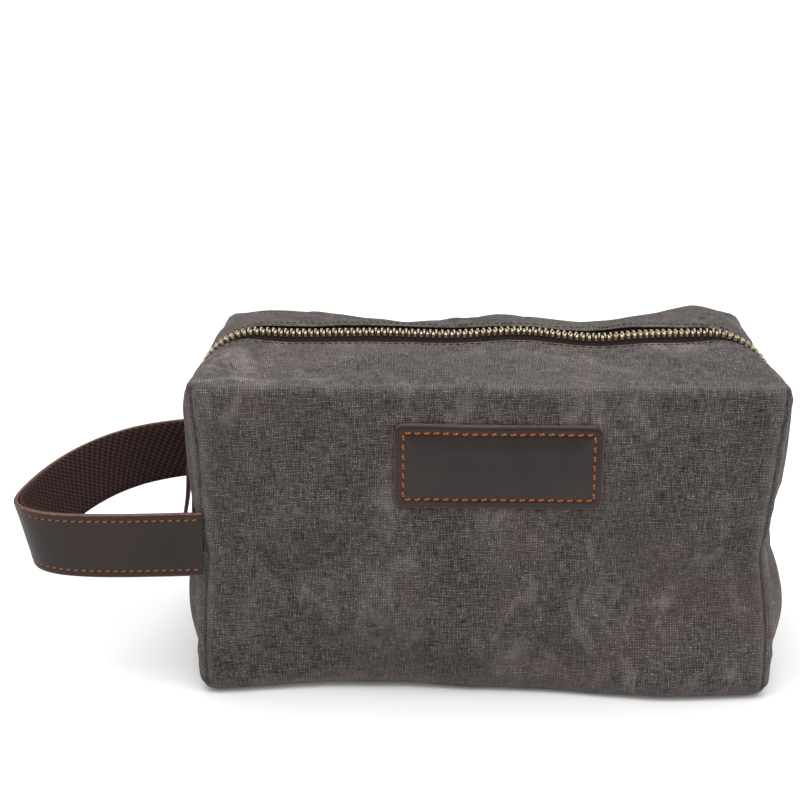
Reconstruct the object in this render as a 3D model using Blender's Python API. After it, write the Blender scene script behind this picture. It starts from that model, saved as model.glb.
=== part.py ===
"""Shaving kit bag: a boxed canvas pouch with a full-length metal zip, a leather patch and an end handle.

The bag stands on its base with the origin at the centre of the base. +X runs along the zip towards the
plain end, -Y is the front with the patch, and +Z is up. The handle and the zip slider are at the -X end.
The canvas, the zip tape and the lining are three layers of one soft box, so each is cut from the same
lofted skin at its own depth below the outer surface.
"""

import math

import bmesh
import bpy
from mathutils import Matrix, Vector
from mathutils.geometry import interpolate_bezier

# Driving dimensions of the bag, in metres
WIDTH = 0.260
DEPTH = 0.134
HEIGHT = 0.146
CROWN = 0.0065
END_BULGE = 0.007
EDGE_ROUND = 0.005
LOFT_SHARES = (-0.68, -0.35, -0.12)
BASE_CORNER = 0.006
TOP_CORNER = 0.008
TOP_CORNER_RISE = 0.024
GAP = 0.0003

# Layers, as depths below the outer surface
CANVAS = (0.0, 0.0016)
TAPE = (0.0019, 0.0026)
LINING = (0.0029, 0.0037)

# Where the canvas is divided into its sewn panels
SEAM_X = 0.1265
LID_HALF_LENGTH = 0.116
LID_FLOOR = HEIGHT - 0.020
SLOT_HALF_WIDTH = 0.0075
LINING_SLOT_HALF_WIDTH = 0.009
ZIP_FOOT = 0.070

# Zip chain
TOOTH_PITCH = 0.00286
TOOTH_WIDTH = 0.0011
TOOTH_REACH = 0.0007
TEETH_DEPTH = (0.00085, 0.00365)
BEAD = (0.0027, 0.0039)
TAPE_EDGE = (0.0042, 0.0145)
SLIDER_CHANNEL = 0.0010
STOP_HEIGHT = 0.003

# Slider, ring and pull
SLIDER_Z = 0.0950
SLIDER_LENGTH = 0.013
SLIDER_HALF_WIDTH = 0.0055
SLIDER_WING = 0.0012
SLIDER_RISE = 0.0016
SLIDER_CLEARANCE = 0.0004
RAIL_WIDTH = 0.0010
POST_HALF_WIDTH = 0.0006
POST_LOW_INSET = 0.001
POST_HIGH_INSET = 0.004
BAIL_HALF_WIDTH = 0.0011
BAIL_RADII = (0.0034, 0.0045)
RING_OUT = 0.0035
RING_DROP = 0.009
RING_HALF_WIDTH = 0.0056
RING_CORNER = 0.0018
WIRE_RADIUS = 0.0006
PULL_WIDTH = 0.0092
PULL_LENGTH = 0.038
PULL_LEATHER = 0.0012
FOLD_CLEARANCE = 0.0005

# Leather patch
PATCH_SIZE = (0.092, 0.038)
PATCH_CORNER = 0.0044
PATCH_THICKNESS = 0.0018
PATCH_X = 0.005
PATCH_Z = 0.1095

# Handle: a band on edge, leather outside and webbing inside
HANDLE_Z = 0.071
HANDLE_WIDTH = 0.030
HANDLE_PIVOT_X = -0.148
HANDLE_ROOT_X = -0.1325
HANDLE_REACH_X = -0.2095
HANDLE_ROOT_Y = 0.0645
HANDLE_BEND_Y = -0.046
FRONT_HANDLES = ((-0.170, -0.069), (HANDLE_REACH_X, -0.074))
BACK_HANDLES = ((HANDLE_REACH_X, -0.008), (-0.192, 0.061))
STRAP_LEATHER = 0.0018
STRAP_WEBBING = 0.0015

HALF_WIDTH = WIDTH / 2
HALF_DEPTH = DEPTH / 2
HINGE_Y = HALF_DEPTH - EDGE_ROUND
CHAIN_X = HALF_WIDTH + END_BULGE
CHAIN_Z = HEIGHT + CROWN
CHAIN_RADIUS = TOP_CORNER + TOP_CORNER_RISE


def start_clean():
    """Remove what the scene holds and make the two collections."""
    for old in list(bpy.data.objects):
        bpy.data.objects.remove(old, do_unlink=True)
    made = []
    for name in ("shaving_kit_bag", "cutters"):
        collection = bpy.data.collections.new(name)
        bpy.context.scene.collection.children.link(collection)
        made.append(collection)
    return made


BAG, CUTTERS = start_clean()


def make_material(name, colour, roughness, metallic=0.0):
    material = bpy.data.materials.new(name)
    material.use_nodes = True
    shader = material.node_tree.nodes["Principled BSDF"]
    shader.inputs["Base Color"].default_value = (*colour, 1.0)
    shader.inputs["Roughness"].default_value = roughness
    shader.inputs["Metallic"].default_value = metallic
    return material


WAXED_CANVAS = make_material("waxed_canvas", (0.075, 0.066, 0.062), 0.8)
LINING_COTTON = make_material("lining_cotton", (0.16, 0.13, 0.10), 0.9)
ZIP_TAPE = make_material("zip_tape", (0.045, 0.028, 0.022), 0.85)
ANTIQUE_BRASS = make_material("antique_brass", (0.35, 0.27, 0.17), 0.35, 1.0)
BROWN_LEATHER = make_material("brown_leather", (0.055, 0.040, 0.034), 0.5)
COTTON_WEBBING = make_material("cotton_webbing", (0.040, 0.025, 0.021), 0.9)


def add_mesh(name, mesh_data, material=None, collection=BAG):
    """Turn a bmesh into an object with its normals facing out."""
    bmesh.ops.recalc_face_normals(mesh_data, faces=mesh_data.faces)
    mesh = bpy.data.meshes.new(name)
    mesh_data.to_mesh(mesh)
    mesh_data.free()
    piece = bpy.data.objects.new(name, mesh)
    collection.objects.link(piece)
    if material:
        mesh.materials.append(material)
    return piece


def add_box(name, low, high, material=None, collection=BAG):
    low, high = Vector(low), Vector(high)
    shape = bmesh.new()
    bmesh.ops.create_cube(shape, size=1.0)
    size = high - low
    place = Matrix.Translation((low + high) / 2) @ Matrix.Diagonal((*size, 1.0))
    bmesh.ops.transform(shape, matrix=place, verts=shape.verts)
    return add_mesh(name, shape, material, collection)


def add_cutter(name, low, high):
    return hide_cutter(add_box(name, low, high, collection=CUTTERS))


def hide_cutter(cutter):
    cutter.hide_render = True
    cutter.display_type = "WIRE"
    return cutter


def add_boolean(piece, operation, tool):
    modifier = piece.modifiers.new(f"{operation.lower()}_{tool.name}", "BOOLEAN")
    modifier.operation = operation
    modifier.solver = "EXACT"
    modifier.object = tool
    return piece


def add_prism(name, outline, axis, span, material=None, collection=BAG):
    """Extrude a closed outline along a world axis. The outline's points are in the other two axes, in order."""
    shape = bmesh.new()
    others = [i for i in range(3) if i != axis]
    ring = []
    for first, second in outline:
        point = Vector((0.0, 0.0, 0.0))
        point[others[0]] = first
        point[others[1]] = second
        point[axis] = span[0]
        ring.append(shape.verts.new(point))
    face = shape.faces.new(ring)
    moved = bmesh.ops.extrude_face_region(shape, geom=[face])["geom"]
    offset = Vector((0.0, 0.0, 0.0))
    offset[axis] = span[1] - span[0]
    bmesh.ops.translate(shape, vec=offset, verts=[v for v in moved if isinstance(v, bmesh.types.BMVert)])
    return add_mesh(name, shape, material, collection)


def arc(centre, radius, start, end, steps):
    """Points of an arc, both ends included, with angles in degrees."""
    points = []
    for step in range(steps + 1):
        angle = math.radians(start + (end - start) * step / steps)
        points.append((centre[0] + radius * math.cos(angle), centre[1] + radius * math.sin(angle)))
    return points


def rounded_rectangle(half_length, half_height, radius, steps):
    """A centred rectangle with round corners, anticlockwise."""
    points = []
    for quarter, (sx, sy) in enumerate(((1, 1), (-1, 1), (-1, -1), (1, -1))):
        centre = (sx * (half_length - radius), sy * (half_height - radius))
        points += arc(centre, radius, 90 * quarter, 90 * quarter + 90, steps)
    return points


# The soft box ------------------------------------------------------------------------------------


def swell(y):
    """1 at mid depth, falling to 0 at the front and back faces."""
    return 1 - (y / HALF_DEPTH) ** 2


def box_section(y_outer, inset):
    """The bag's outline across X and Z at one depth, moved in by the inset."""
    half = HALF_WIDTH + END_BULGE * swell(y_outer) - inset
    top = HEIGHT + CROWN * swell(y_outer) - inset
    top_radius = max(TOP_CORNER + TOP_CORNER_RISE * swell(y_outer) - inset, GAP)
    base_radius = max(BASE_CORNER - inset, GAP)
    points = arc((half - base_radius, inset + base_radius), base_radius, -90, 0, 3)
    points += arc((half - top_radius, top - top_radius), top_radius, 0, 90, 6)
    points += arc((-half + top_radius, top - top_radius), top_radius, 90, 180, 6)
    points += arc((-half + base_radius, inset + base_radius), base_radius, 180, 270, 3)
    return points


def skin(name, depth):
    """The closed skin of the bag at a depth below its outer surface, lofted from front to back."""
    edge = EDGE_ROUND - depth
    stations = []
    for angle in (90, 60, 30, 0):
        bend = math.radians(angle)
        stations.append((-HALF_DEPTH + depth + edge * (1 - math.sin(bend)), edge * (1 - math.cos(bend))))
    for share in LOFT_SHARES:
        stations.append((share * HINGE_Y, 0.0))
    stations += [(-y, inset) for y, inset in reversed(stations)]
    shape = bmesh.new()
    rings = []
    for y, inset in stations:
        outer_y = math.copysign(min(abs(y) + depth * abs(y) / HALF_DEPTH, HALF_DEPTH), y)
        points = box_section(outer_y, depth + inset)
        rings.append([shape.verts.new((x, y, z)) for x, z in points])
    for near, far in zip(rings, rings[1:]):
        for i in range(len(near)):
            j = (i + 1) % len(near)
            shape.faces.new((near[i], near[j], far[j], far[i]))
    shape.faces.new(rings[0])
    shape.faces.new(rings[-1])
    return add_mesh(name, shape)


def layer_piece(name, layer, material, keep, cuts=()):
    """The part of one layer that lies inside the keep box and outside the cut boxes."""
    piece = skin(name, layer[0])
    piece.data.materials.append(material)
    inner = hide_cutter(skin(f"{name}_hollow", layer[1]))
    BAG.objects.unlink(inner)
    CUTTERS.objects.link(inner)
    add_boolean(piece, "DIFFERENCE", inner)
    add_boolean(piece, "INTERSECT", add_cutter(f"{name}_keep", *keep))
    for i, box in enumerate(cuts):
        add_boolean(piece, "DIFFERENCE", add_cutter(f"{name}_cut_{i}", *box))
    return piece


FAR = 0.3


def lid_box(half_length, half_width, floor=LID_FLOOR):
    return (-half_length, -half_width, floor), (half_length, half_width, FAR)


def slot_box(half_width, foot, low_x=-FAR, high_x=FAR):
    return (low_x, -half_width, foot), (high_x, half_width, FAR)


def make_panels():
    """The canvas panels that stay with the body: the wrap round front, base and back, and the two ends."""
    wrap_half = SEAM_X - GAP / 2
    layer_piece(
        "main_panel",
        CANVAS,
        WAXED_CANVAS,
        ((-wrap_half, -FAR, -FAR), (wrap_half, FAR, FAR)),
        (lid_box(LID_HALF_LENGTH, HINGE_Y), slot_box(SLOT_HALF_WIDTH, LID_FLOOR)),
    )
    slot = slot_box(SLOT_HALF_WIDTH, ZIP_FOOT)
    end = SEAM_X + GAP / 2
    layer_piece("left_end_panel", CANVAS, WAXED_CANVAS, ((-FAR, -FAR, -FAR), (-end, FAR, FAR)), (slot,))
    layer_piece("right_end_panel", CANVAS, WAXED_CANVAS, ((end, -FAR, -FAR), (FAR, FAR, FAR)), (slot,))


def make_lining():
    layer_piece(
        "body_lining",
        LINING,
        LINING_COTTON,
        ((-FAR, -FAR, -FAR), (FAR, FAR, FAR)),
        (lid_box(LID_HALF_LENGTH, HINGE_Y), slot_box(LINING_SLOT_HALF_WIDTH, ZIP_FOOT)),
    )


def flap_box(side, near, far, half_length):
    """A box over one half of the lid. side is -1 at the front and 1 at the back; near and far are from mid depth."""
    ys = sorted((side * near, side * far))
    return (-half_length, ys[0], LID_FLOOR), (half_length, ys[1], FAR)


# The zip -----------------------------------------------------------------------------------------


def chain_point(s, y, depth):
    """A point on the zip's line: s runs from mid length over the top, round the corner and down the end."""
    flat = CHAIN_X - CHAIN_RADIUS
    turn = CHAIN_RADIUS * math.pi / 2
    side = math.copysign(1.0, s)
    s = abs(s)
    if s <= flat:
        return Vector((side * s, y, CHAIN_Z - depth))
    if s <= flat + turn:
        angle = (s - flat) / CHAIN_RADIUS
        radius = CHAIN_RADIUS - depth
        z = CHAIN_Z - CHAIN_RADIUS + radius * math.cos(angle)
        return Vector((side * (flat + radius * math.sin(angle)), y, z))
    return Vector((side * (CHAIN_X - depth), y, CHAIN_Z - CHAIN_RADIUS - (s - flat - turn)))


CHAIN_CORNER = CHAIN_X - CHAIN_RADIUS + CHAIN_RADIUS * math.pi / 2
CHAIN_END = CHAIN_CORNER + CHAIN_Z - CHAIN_RADIUS - ZIP_FOOT - STOP_HEIGHT
LID_EDGE = CHAIN_X - CHAIN_RADIUS + CHAIN_RADIUS * math.asin(
    (LID_HALF_LENGTH - CHAIN_X + CHAIN_RADIUS) / CHAIN_RADIUS
)


def add_teeth(name, start, end, side, channel_from=None):
    """One row of teeth on its bead. Past channel_from the teeth stop short of mid depth, clear of the slider."""
    phase = 0.0 if side > 0 else TOOTH_PITCH / 2
    first = math.ceil((start + TOOTH_WIDTH - phase) / TOOTH_PITCH)
    last = math.floor((end - TOOTH_WIDTH - phase) / TOOTH_PITCH)
    middles = [number * TOOTH_PITCH + phase for number in range(first, last + 1)]
    cuts = [start]
    for middle in middles:
        cuts += [middle - TOOTH_WIDTH / 2, middle + TOOTH_WIDTH / 2]
    cuts.append(end)
    shape = bmesh.new()
    inner = [shape.verts.new((s, side * BEAD[0], TEETH_DEPTH[0])) for s in cuts]
    outer = [shape.verts.new((s, side * BEAD[1], TEETH_DEPTH[0])) for s in cuts]
    for i in range(len(cuts) - 1):
        shape.faces.new((inner[i], inner[i + 1], outer[i + 1], outer[i]))
    for i, middle in enumerate(middles):
        in_channel = channel_from is not None and abs(middle) > channel_from
        tip = SLIDER_CHANNEL if in_channel else -TOOTH_REACH
        low, high = inner[2 * i + 1], inner[2 * i + 2]
        tips = [shape.verts.new((root.co.x, side * tip, TEETH_DEPTH[0])) for root in (low, high)]
        shape.faces.new((tips[0], tips[1], high, low))
    moved = bmesh.ops.extrude_face_region(shape, geom=shape.faces[:])["geom"]
    drop = Vector((0.0, 0.0, TEETH_DEPTH[1] - TEETH_DEPTH[0]))
    bmesh.ops.translate(shape, vec=drop, verts=[v for v in moved if isinstance(v, bmesh.types.BMVert)])
    for vertex in shape.verts:
        vertex.co = chain_point(*vertex.co)
    return add_mesh(name, shape, ANTIQUE_BRASS)


def tape_box(side, low_x, high_x, floor):
    ys = sorted((side * TAPE_EDGE[0], side * TAPE_EDGE[1]))
    return (low_x, ys[0], floor), (high_x, ys[1], FAR)


def make_end_zips():
    """Tape, teeth and stops of the two stretches that go round the corners and down the ends."""
    start = LID_EDGE + GAP
    for end_name, sx in (("left", -1), ("right", 1)):
        for side_name, side in (("front", -1), ("back", 1)):
            label = f"{end_name}_end_{side_name}"
            xs = sorted((sx * LID_HALF_LENGTH, sx * FAR))
            layer_piece(f"{label}_tape", TAPE, ZIP_TAPE, tape_box(side, *xs, ZIP_FOOT - STOP_HEIGHT))
            reach = sorted((sx * start, sx * CHAIN_END))
            channel = CHAIN_CORNER - SLIDER_LENGTH if sx < 0 else None
            add_teeth(f"{label}_teeth", *reach, side, channel)
        stop_x = sorted((sx * (CHAIN_X - TEETH_DEPTH[0]), sx * (CHAIN_X - TEETH_DEPTH[1])))
        stop_top = ZIP_FOOT + STOP_HEIGHT - GAP
        low = (stop_x[0], -BEAD[1], ZIP_FOOT + GAP)
        add_box(f"{end_name}_stop", low, (stop_x[1], BEAD[1], stop_top), ANTIQUE_BRASS)


def make_flap(label, side):
    """One half of the lid, from its fold to the zip, hung on the fold line at the bag's outer surface."""
    half = LID_HALF_LENGTH - GAP
    canvas = layer_piece(
        f"{label}_top_panel",
        CANVAS,
        WAXED_CANVAS,
        flap_box(side, SLOT_HALF_WIDTH, HINGE_Y - GAP, half),
    )
    lining = layer_piece(
        f"{label}_top_lining",
        LINING,
        LINING_COTTON,
        flap_box(side, LINING_SLOT_HALF_WIDTH, HINGE_Y - 2 * GAP, half),
    )
    tape = layer_piece(f"{label}_tape", TAPE, ZIP_TAPE, tape_box(side, -half, half, LID_FLOOR))
    teeth = add_teeth(f"{label}_teeth", -LID_EDGE + GAP, LID_EDGE - GAP, side)
    hang_on(f"{label}_fold", (0.0, side * HINGE_Y, HEIGHT + CROWN * swell(HINGE_Y)), canvas, lining, tape, teeth)


def hang_on(name, pivot, *pieces, parent=None):
    """Parent the pieces to an empty at the joint's axis, without moving them."""
    empty = bpy.data.objects.new(name, None)
    empty.empty_display_size = 0.01
    empty.location = pivot
    BAG.objects.link(empty)
    if parent:
        empty.parent = parent
        empty.matrix_parent_inverse = Matrix.Translation(Vector(parent["pivot"])).inverted()
    empty["pivot"] = pivot
    for piece in pieces:
        piece.parent = empty
        piece.matrix_parent_inverse = Matrix.Translation(Vector(pivot)).inverted()
    return empty


# Slider, ring and pull ---------------------------------------------------------------------------


def make_slider():
    """Two wings joined by a slim post that runs between the rows, with a bail for the ring."""
    face = CHAIN_X
    half = SLIDER_LENGTH / 2
    low, high = SLIDER_Z - half, SLIDER_Z + half
    wing_top = face + SLIDER_RISE
    wing_floor = face - TEETH_DEPTH[0] + SLIDER_CLEARANCE
    back_top = face - TEETH_DEPTH[1] - SLIDER_CLEARANCE
    rail = SLIDER_HALF_WIDTH - RAIL_WIDTH
    over_tape = face - TAPE[0] + GAP
    under_tape = face - TAPE[1] - GAP
    slider = add_box(
        "slider",
        (-wing_top, -SLIDER_HALF_WIDTH, low),
        (-wing_floor, SLIDER_HALF_WIDTH, high),
        ANTIQUE_BRASS,
    )
    back_floor = back_top - SLIDER_WING
    post_low = (-wing_floor - GAP, -POST_HALF_WIDTH, low + POST_LOW_INSET)
    post_high = (-back_top + GAP, POST_HALF_WIDTH, high - POST_HIGH_INSET)
    boxes = [
        ("back_wing", (-back_top, -SLIDER_HALF_WIDTH, low), (-back_floor, SLIDER_HALF_WIDTH, high)),
        ("post", post_low, post_high),
    ]
    for side_name, side in (("front", -1), ("back", 1)):
        ys = sorted((side * rail, side * SLIDER_HALF_WIDTH))
        boxes.append((f"{side_name}_rail", (-wing_floor - GAP, ys[0], low), (-over_tape, ys[1], high)))
        boxes.append((f"{side_name}_back_rail", (-under_tape, ys[0], low), (-back_top + GAP, ys[1], high)))
    for label, corner, opposite in boxes:
        add_boolean(slider, "UNION", add_cutter(f"slider_{label}", corner, opposite))
    base = -wing_top + GAP
    outer = arc((base, SLIDER_Z), BAIL_RADII[1], 90, 270, 8)
    inner = arc((base, SLIDER_Z), BAIL_RADII[0], 270, 90, 8)
    bail = add_prism("slider_bail", outer + inner, 1, (-BAIL_HALF_WIDTH, BAIL_HALF_WIDTH), collection=CUTTERS)
    add_boolean(slider, "UNION", hide_cutter(bail))
    return slider


RING_TOP = (-(CHAIN_X + RING_OUT), 0.0, SLIDER_Z)
RING_FOOT = (RING_TOP[0], 0.0, SLIDER_Z - RING_DROP)


def make_ring():
    """A wire loop whose top bar turns in the slider's bail."""
    middle = (RING_TOP[2] + RING_FOOT[2]) / 2
    outline = rounded_rectangle(RING_HALF_WIDTH, RING_DROP / 2, RING_CORNER, 3)
    curve = bpy.data.curves.new("pull_ring", "CURVE")
    curve.dimensions = "3D"
    curve.bevel_depth = WIRE_RADIUS
    curve.bevel_resolution = 2
    line = curve.splines.new("POLY")
    line.points.add(len(outline) - 1)
    for point, (y, z) in zip(line.points, outline):
        point.co = (RING_TOP[0], y, middle + z, 1.0)
    line.use_cyclic_u = True
    curve.materials.append(ANTIQUE_BRASS)
    ring = bpy.data.objects.new("pull_ring", curve)
    BAG.objects.link(ring)
    return ring


def make_pull():
    """A leather strip folded over the ring's lower bar, its two leaves hanging side by side."""
    inner_radius = WIRE_RADIUS + FOLD_CLEARANCE
    outer_radius = inner_radius + PULL_LEATHER
    centre = (RING_FOOT[0], RING_FOOT[2])
    foot = RING_FOOT[2] - PULL_LENGTH
    outer = arc(centre, outer_radius, 0, 180, 8)
    inner = arc(centre, inner_radius, 180, 0, 8)
    outline = [(centre[0] + outer_radius, foot)] + outer + [(centre[0] - outer_radius, foot)]
    outline += [(centre[0] - inner_radius, foot)] + inner + [(centre[0] + inner_radius, foot)]
    return add_prism("leather_pull", outline, 1, (-PULL_WIDTH / 2, PULL_WIDTH / 2), BROWN_LEATHER)


# Patch and handle --------------------------------------------------------------------------------


def make_patch():
    outline = rounded_rectangle(PATCH_SIZE[0] / 2, PATCH_SIZE[1] / 2, PATCH_CORNER, 5)
    points = [(PATCH_X + x, PATCH_Z + z) for x, z in outline]
    back = -HALF_DEPTH - GAP
    return add_prism("leather_patch", points, 1, (back - PATCH_THICKNESS, back), BROWN_LEATHER)


def handle_line():
    """The handle's line in plan, from the front seam out along the front and back round to the back seam."""
    front = Vector((HANDLE_ROOT_X, -HANDLE_ROOT_Y))
    bend = Vector((HANDLE_REACH_X, HANDLE_BEND_Y))
    back = Vector((HANDLE_ROOT_X, HANDLE_ROOT_Y))
    line = interpolate_bezier(front, *(Vector(handle) for handle in FRONT_HANDLES), bend, 13)
    line += interpolate_bezier(bend, *(Vector(handle) for handle in BACK_HANDLES), back, 17)[1:]
    return [Vector(point).to_2d() for point in line]


def offset_line(line, distance):
    """The line moved sideways, out of the loop for a positive distance."""
    moved = []
    for i, point in enumerate(line):
        along = (line[min(i + 1, len(line) - 1)] - line[max(i - 1, 0)]).normalized()
        moved.append(point + Vector((along.y, -along.x)) * -distance)
    return moved


def make_handle():
    """Leather on the outside and webbing inside, with round ends so that the band can swing at the seams."""
    line = handle_line()
    reach = HANDLE_WIDTH / 2
    ends = arc((HANDLE_PIVOT_X, HANDLE_Z), reach, -90, 90, 10)
    ends += [(-FAR, HANDLE_Z + reach), (-FAR, HANDLE_Z - reach)]
    pieces = []
    for name, material, low, high in (
        ("handle_strap", BROWN_LEATHER, GAP / 2, GAP / 2 + STRAP_LEATHER),
        ("handle_webbing", COTTON_WEBBING, -GAP / 2 - STRAP_WEBBING, -GAP / 2),
    ):
        outline = offset_line(line, low) + list(reversed(offset_line(line, high)))
        span = (HANDLE_Z - reach, HANDLE_Z + reach)
        band = add_prism(name, outline, 2, span, material)
        ends_cutter = add_prism(f"{name}_ends", ends, 1, (-FAR, FAR), collection=CUTTERS)
        add_boolean(band, "INTERSECT", hide_cutter(ends_cutter))
        pieces.append(band)
    return pieces


def build():
    make_panels()
    make_lining()
    make_end_zips()
    make_patch()
    make_flap("front", -1)
    make_flap("back", 1)
    slider_joint = hang_on("slider_run", (-CHAIN_X, 0.0, SLIDER_Z), make_slider())
    ring_joint = hang_on("ring_bail", RING_TOP, make_ring(), parent=slider_joint)
    hang_on("pull_fold", RING_FOOT, make_pull(), parent=ring_joint)
    hang_on("handle_seam", (HANDLE_PIVOT_X, 0.0, HANDLE_Z), *make_handle())


build()
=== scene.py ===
"""Looks of the shaving kit bag: waxed canvas, lining, zip, slider, pull, patch, handle, light and camera.

The bag is one soft box. A grid over a plain box is bent into the bag's shape, stiffened along its seams and
let go as cloth, and then divided into the body and the two halves of the lid that the zip parts.
"""

import math

import bmesh
import bpy
import numpy as np
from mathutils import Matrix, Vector, noise
from mathutils.bvhtree import BVHTree
from mathutils.geometry import interpolate_bezier


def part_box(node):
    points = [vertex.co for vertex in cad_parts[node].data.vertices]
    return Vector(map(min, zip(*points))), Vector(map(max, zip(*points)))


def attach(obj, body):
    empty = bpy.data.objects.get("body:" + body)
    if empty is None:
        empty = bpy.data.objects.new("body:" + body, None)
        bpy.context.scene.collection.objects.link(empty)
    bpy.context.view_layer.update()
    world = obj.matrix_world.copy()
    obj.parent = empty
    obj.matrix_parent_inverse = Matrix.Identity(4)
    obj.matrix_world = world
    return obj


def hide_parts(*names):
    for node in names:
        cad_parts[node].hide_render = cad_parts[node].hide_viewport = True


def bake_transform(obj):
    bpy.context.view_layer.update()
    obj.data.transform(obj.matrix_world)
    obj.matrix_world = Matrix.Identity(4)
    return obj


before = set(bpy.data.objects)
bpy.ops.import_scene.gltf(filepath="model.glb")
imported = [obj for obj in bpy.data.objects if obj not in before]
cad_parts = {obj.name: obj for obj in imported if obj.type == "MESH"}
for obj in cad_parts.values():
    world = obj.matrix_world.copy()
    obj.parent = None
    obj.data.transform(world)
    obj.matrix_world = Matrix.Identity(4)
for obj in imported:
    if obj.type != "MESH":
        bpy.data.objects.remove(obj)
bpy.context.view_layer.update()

# Sizes ------------------------------------------------------------------------------------------

PATCH_LOW, PATCH_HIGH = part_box("leather_patch")
SLIDER_LOW, SLIDER_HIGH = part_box("slider")
RING_LOW, RING_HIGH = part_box("pull_ring")
PULL_LOW, PULL_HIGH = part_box("leather_pull")
STRAP_LOW, STRAP_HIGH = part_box("handle_strap")
END_LOW, END_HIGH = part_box("right_end_panel")
LID_LOW, LID_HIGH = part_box("front_top_panel")

END_BULGE = 0.007
CROWN = 0.0065
LID_GAP = 0.0003
HALF_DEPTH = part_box("main_panel")[1].y
HALF_LENGTH = END_HIGH.x - END_BULGE
HEIGHT = LID_HIGH.z - CROWN
LID_HALF_LENGTH = LID_HIGH.x + LID_GAP
FOLD_Y = -LID_LOW.y + LID_GAP
ZIP_FOOT = END_LOW.z + 0.070
SLOT_HALF_WIDTH = 0.0075

CLOTH_FRAMES = 22
CLOTH_EXTRA = 0.022
LONGEST_MOVE = 0.0040
CANVAS_THICKNESS = 0.0013
LINING_DEPTHS = (0.0025, 0.0032)
BAND_DEPTHS = (CANVAS_THICKNESS + 0.0002, CANVAS_THICKNESS + 0.0008)
FOLD_BAND = 0.0045

TOOTH_PITCH = 0.00286
CHAIN_OUT = 0.0007
TAPE_THICKNESS = 0.0006
TAPE_STATION = 0.003
HEM_STITCH_PLACE = 0.0134
HEM_STITCH_PITCH = 0.0031
HEM_THREAD = 0.00030

STRAP_THICKNESS = 0.0022
WEBBING_THICKNESS = 0.0016
STRAP_STITCH_PITCH = 0.0036
STRAP_THREAD = 0.00042
PATCH_THICKNESS = 0.0019
PATCH_CORNER = 0.0046
PATCH_STITCH_PITCH = 0.0042
PATCH_THREAD = 0.00056
STITCH_INSET = 0.0040

BAIL_WIRE = 0.00055
RING_WIRE = 0.00062
PULL_WIDTH = 0.0092
PULL_THICKNESS = 0.0013

# Materials --------------------------------------------------------------------------------------


def node(tree, kind, inputs=None, **settings):
    """Add a node; an input may be a value or another node's output."""
    made = tree.nodes.new(kind)
    for key, value in settings.items():
        setattr(made, key, value)
    for key, value in (inputs or {}).items():
        if isinstance(value, bpy.types.NodeSocket):
            tree.links.new(value, made.inputs[key])
        else:
            made.inputs[key].default_value = value
    return made


def maths(tree, operation, first, second=0.0):
    return node(tree, "ShaderNodeMath", {0: first, 1: second}, operation=operation).outputs[0]


def plus(tree, first, second):
    return maths(tree, "ADD", first, second)


def times(tree, first, second):
    return maths(tree, "MULTIPLY", first, second)


def wave(tree, value, period):
    return maths(tree, "SINE", times(tree, value, 2 * math.pi / period))


def mix_colour(tree, factor, first, second, blend="MIX"):
    inputs = {0: factor, 6: first, 7: second}
    return node(tree, "ShaderNodeMix", inputs, data_type="RGBA", blend_type=blend).outputs[2]


def spread(tree, value, low, high, to_low=0.0, to_high=1.0):
    inputs = {0: value, 1: low, 2: high, 3: to_low, 4: to_high}
    return node(tree, "ShaderNodeMapRange", inputs, clamp=True).outputs[0]


def scaled(tree, vector, scale, turn=(0.0, 0.0, 0.0)):
    inputs = {"Vector": vector, "Rotation": turn, "Scale": scale}
    return node(tree, "ShaderNodeMapping", inputs).outputs[0]


def cloud(tree, vector, scale, detail=3.0, roughness=0.5, distortion=0.0):
    inputs = {"Vector": vector, "Scale": scale, "Detail": detail}
    inputs |= {"Roughness": roughness, "Distortion": distortion}
    return node(tree, "ShaderNodeTexNoise", inputs).outputs[0]


def bump(tree, height, distance, strength=1.0, normal=None):
    inputs = {"Height": height, "Distance": distance, "Strength": strength}
    if normal is not None:
        inputs["Normal"] = normal
    return node(tree, "ShaderNodeBump", inputs).outputs[0]


def weave_coordinates(tree):
    """The flat coordinates of the cloth, together and apart."""
    uv = node(tree, "ShaderNodeUVMap").outputs[0]
    split = node(tree, "ShaderNodeSeparateXYZ", {0: uv})
    return uv, split.outputs[0], split.outputs[1]


def object_place(tree):
    return node(tree, "ShaderNodeTexCoord").outputs["Object"]


def new_material(name, **constants):
    """A material with its tree and Principled shader; constants go straight on the shader's sockets."""
    material = bpy.data.materials.new(name)
    material.use_nodes = True
    tree = material.node_tree
    shader = tree.nodes["Principled BSDF"]
    for key, value in constants.items():
        shader.inputs[key.replace("_", " ")].default_value = value
    return material, tree, shader


def dress(tree, shader, base, normal, roughness=None):
    tree.links.new(base, shader.inputs["Base Color"])
    tree.links.new(normal, shader.inputs["Normal"])
    if roughness is not None:
        tree.links.new(roughness, shader.inputs["Roughness"])


def colour(red, green, blue):
    """A display colour from 0 to 255 as a linear shader colour."""
    linear = []
    for value in (red, green, blue):
        share = value / 255
        linear.append(share / 12.92 if share <= 0.04045 else ((share + 0.055) / 1.055) ** 2.4)
    return (*linear, 1.0)


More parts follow.
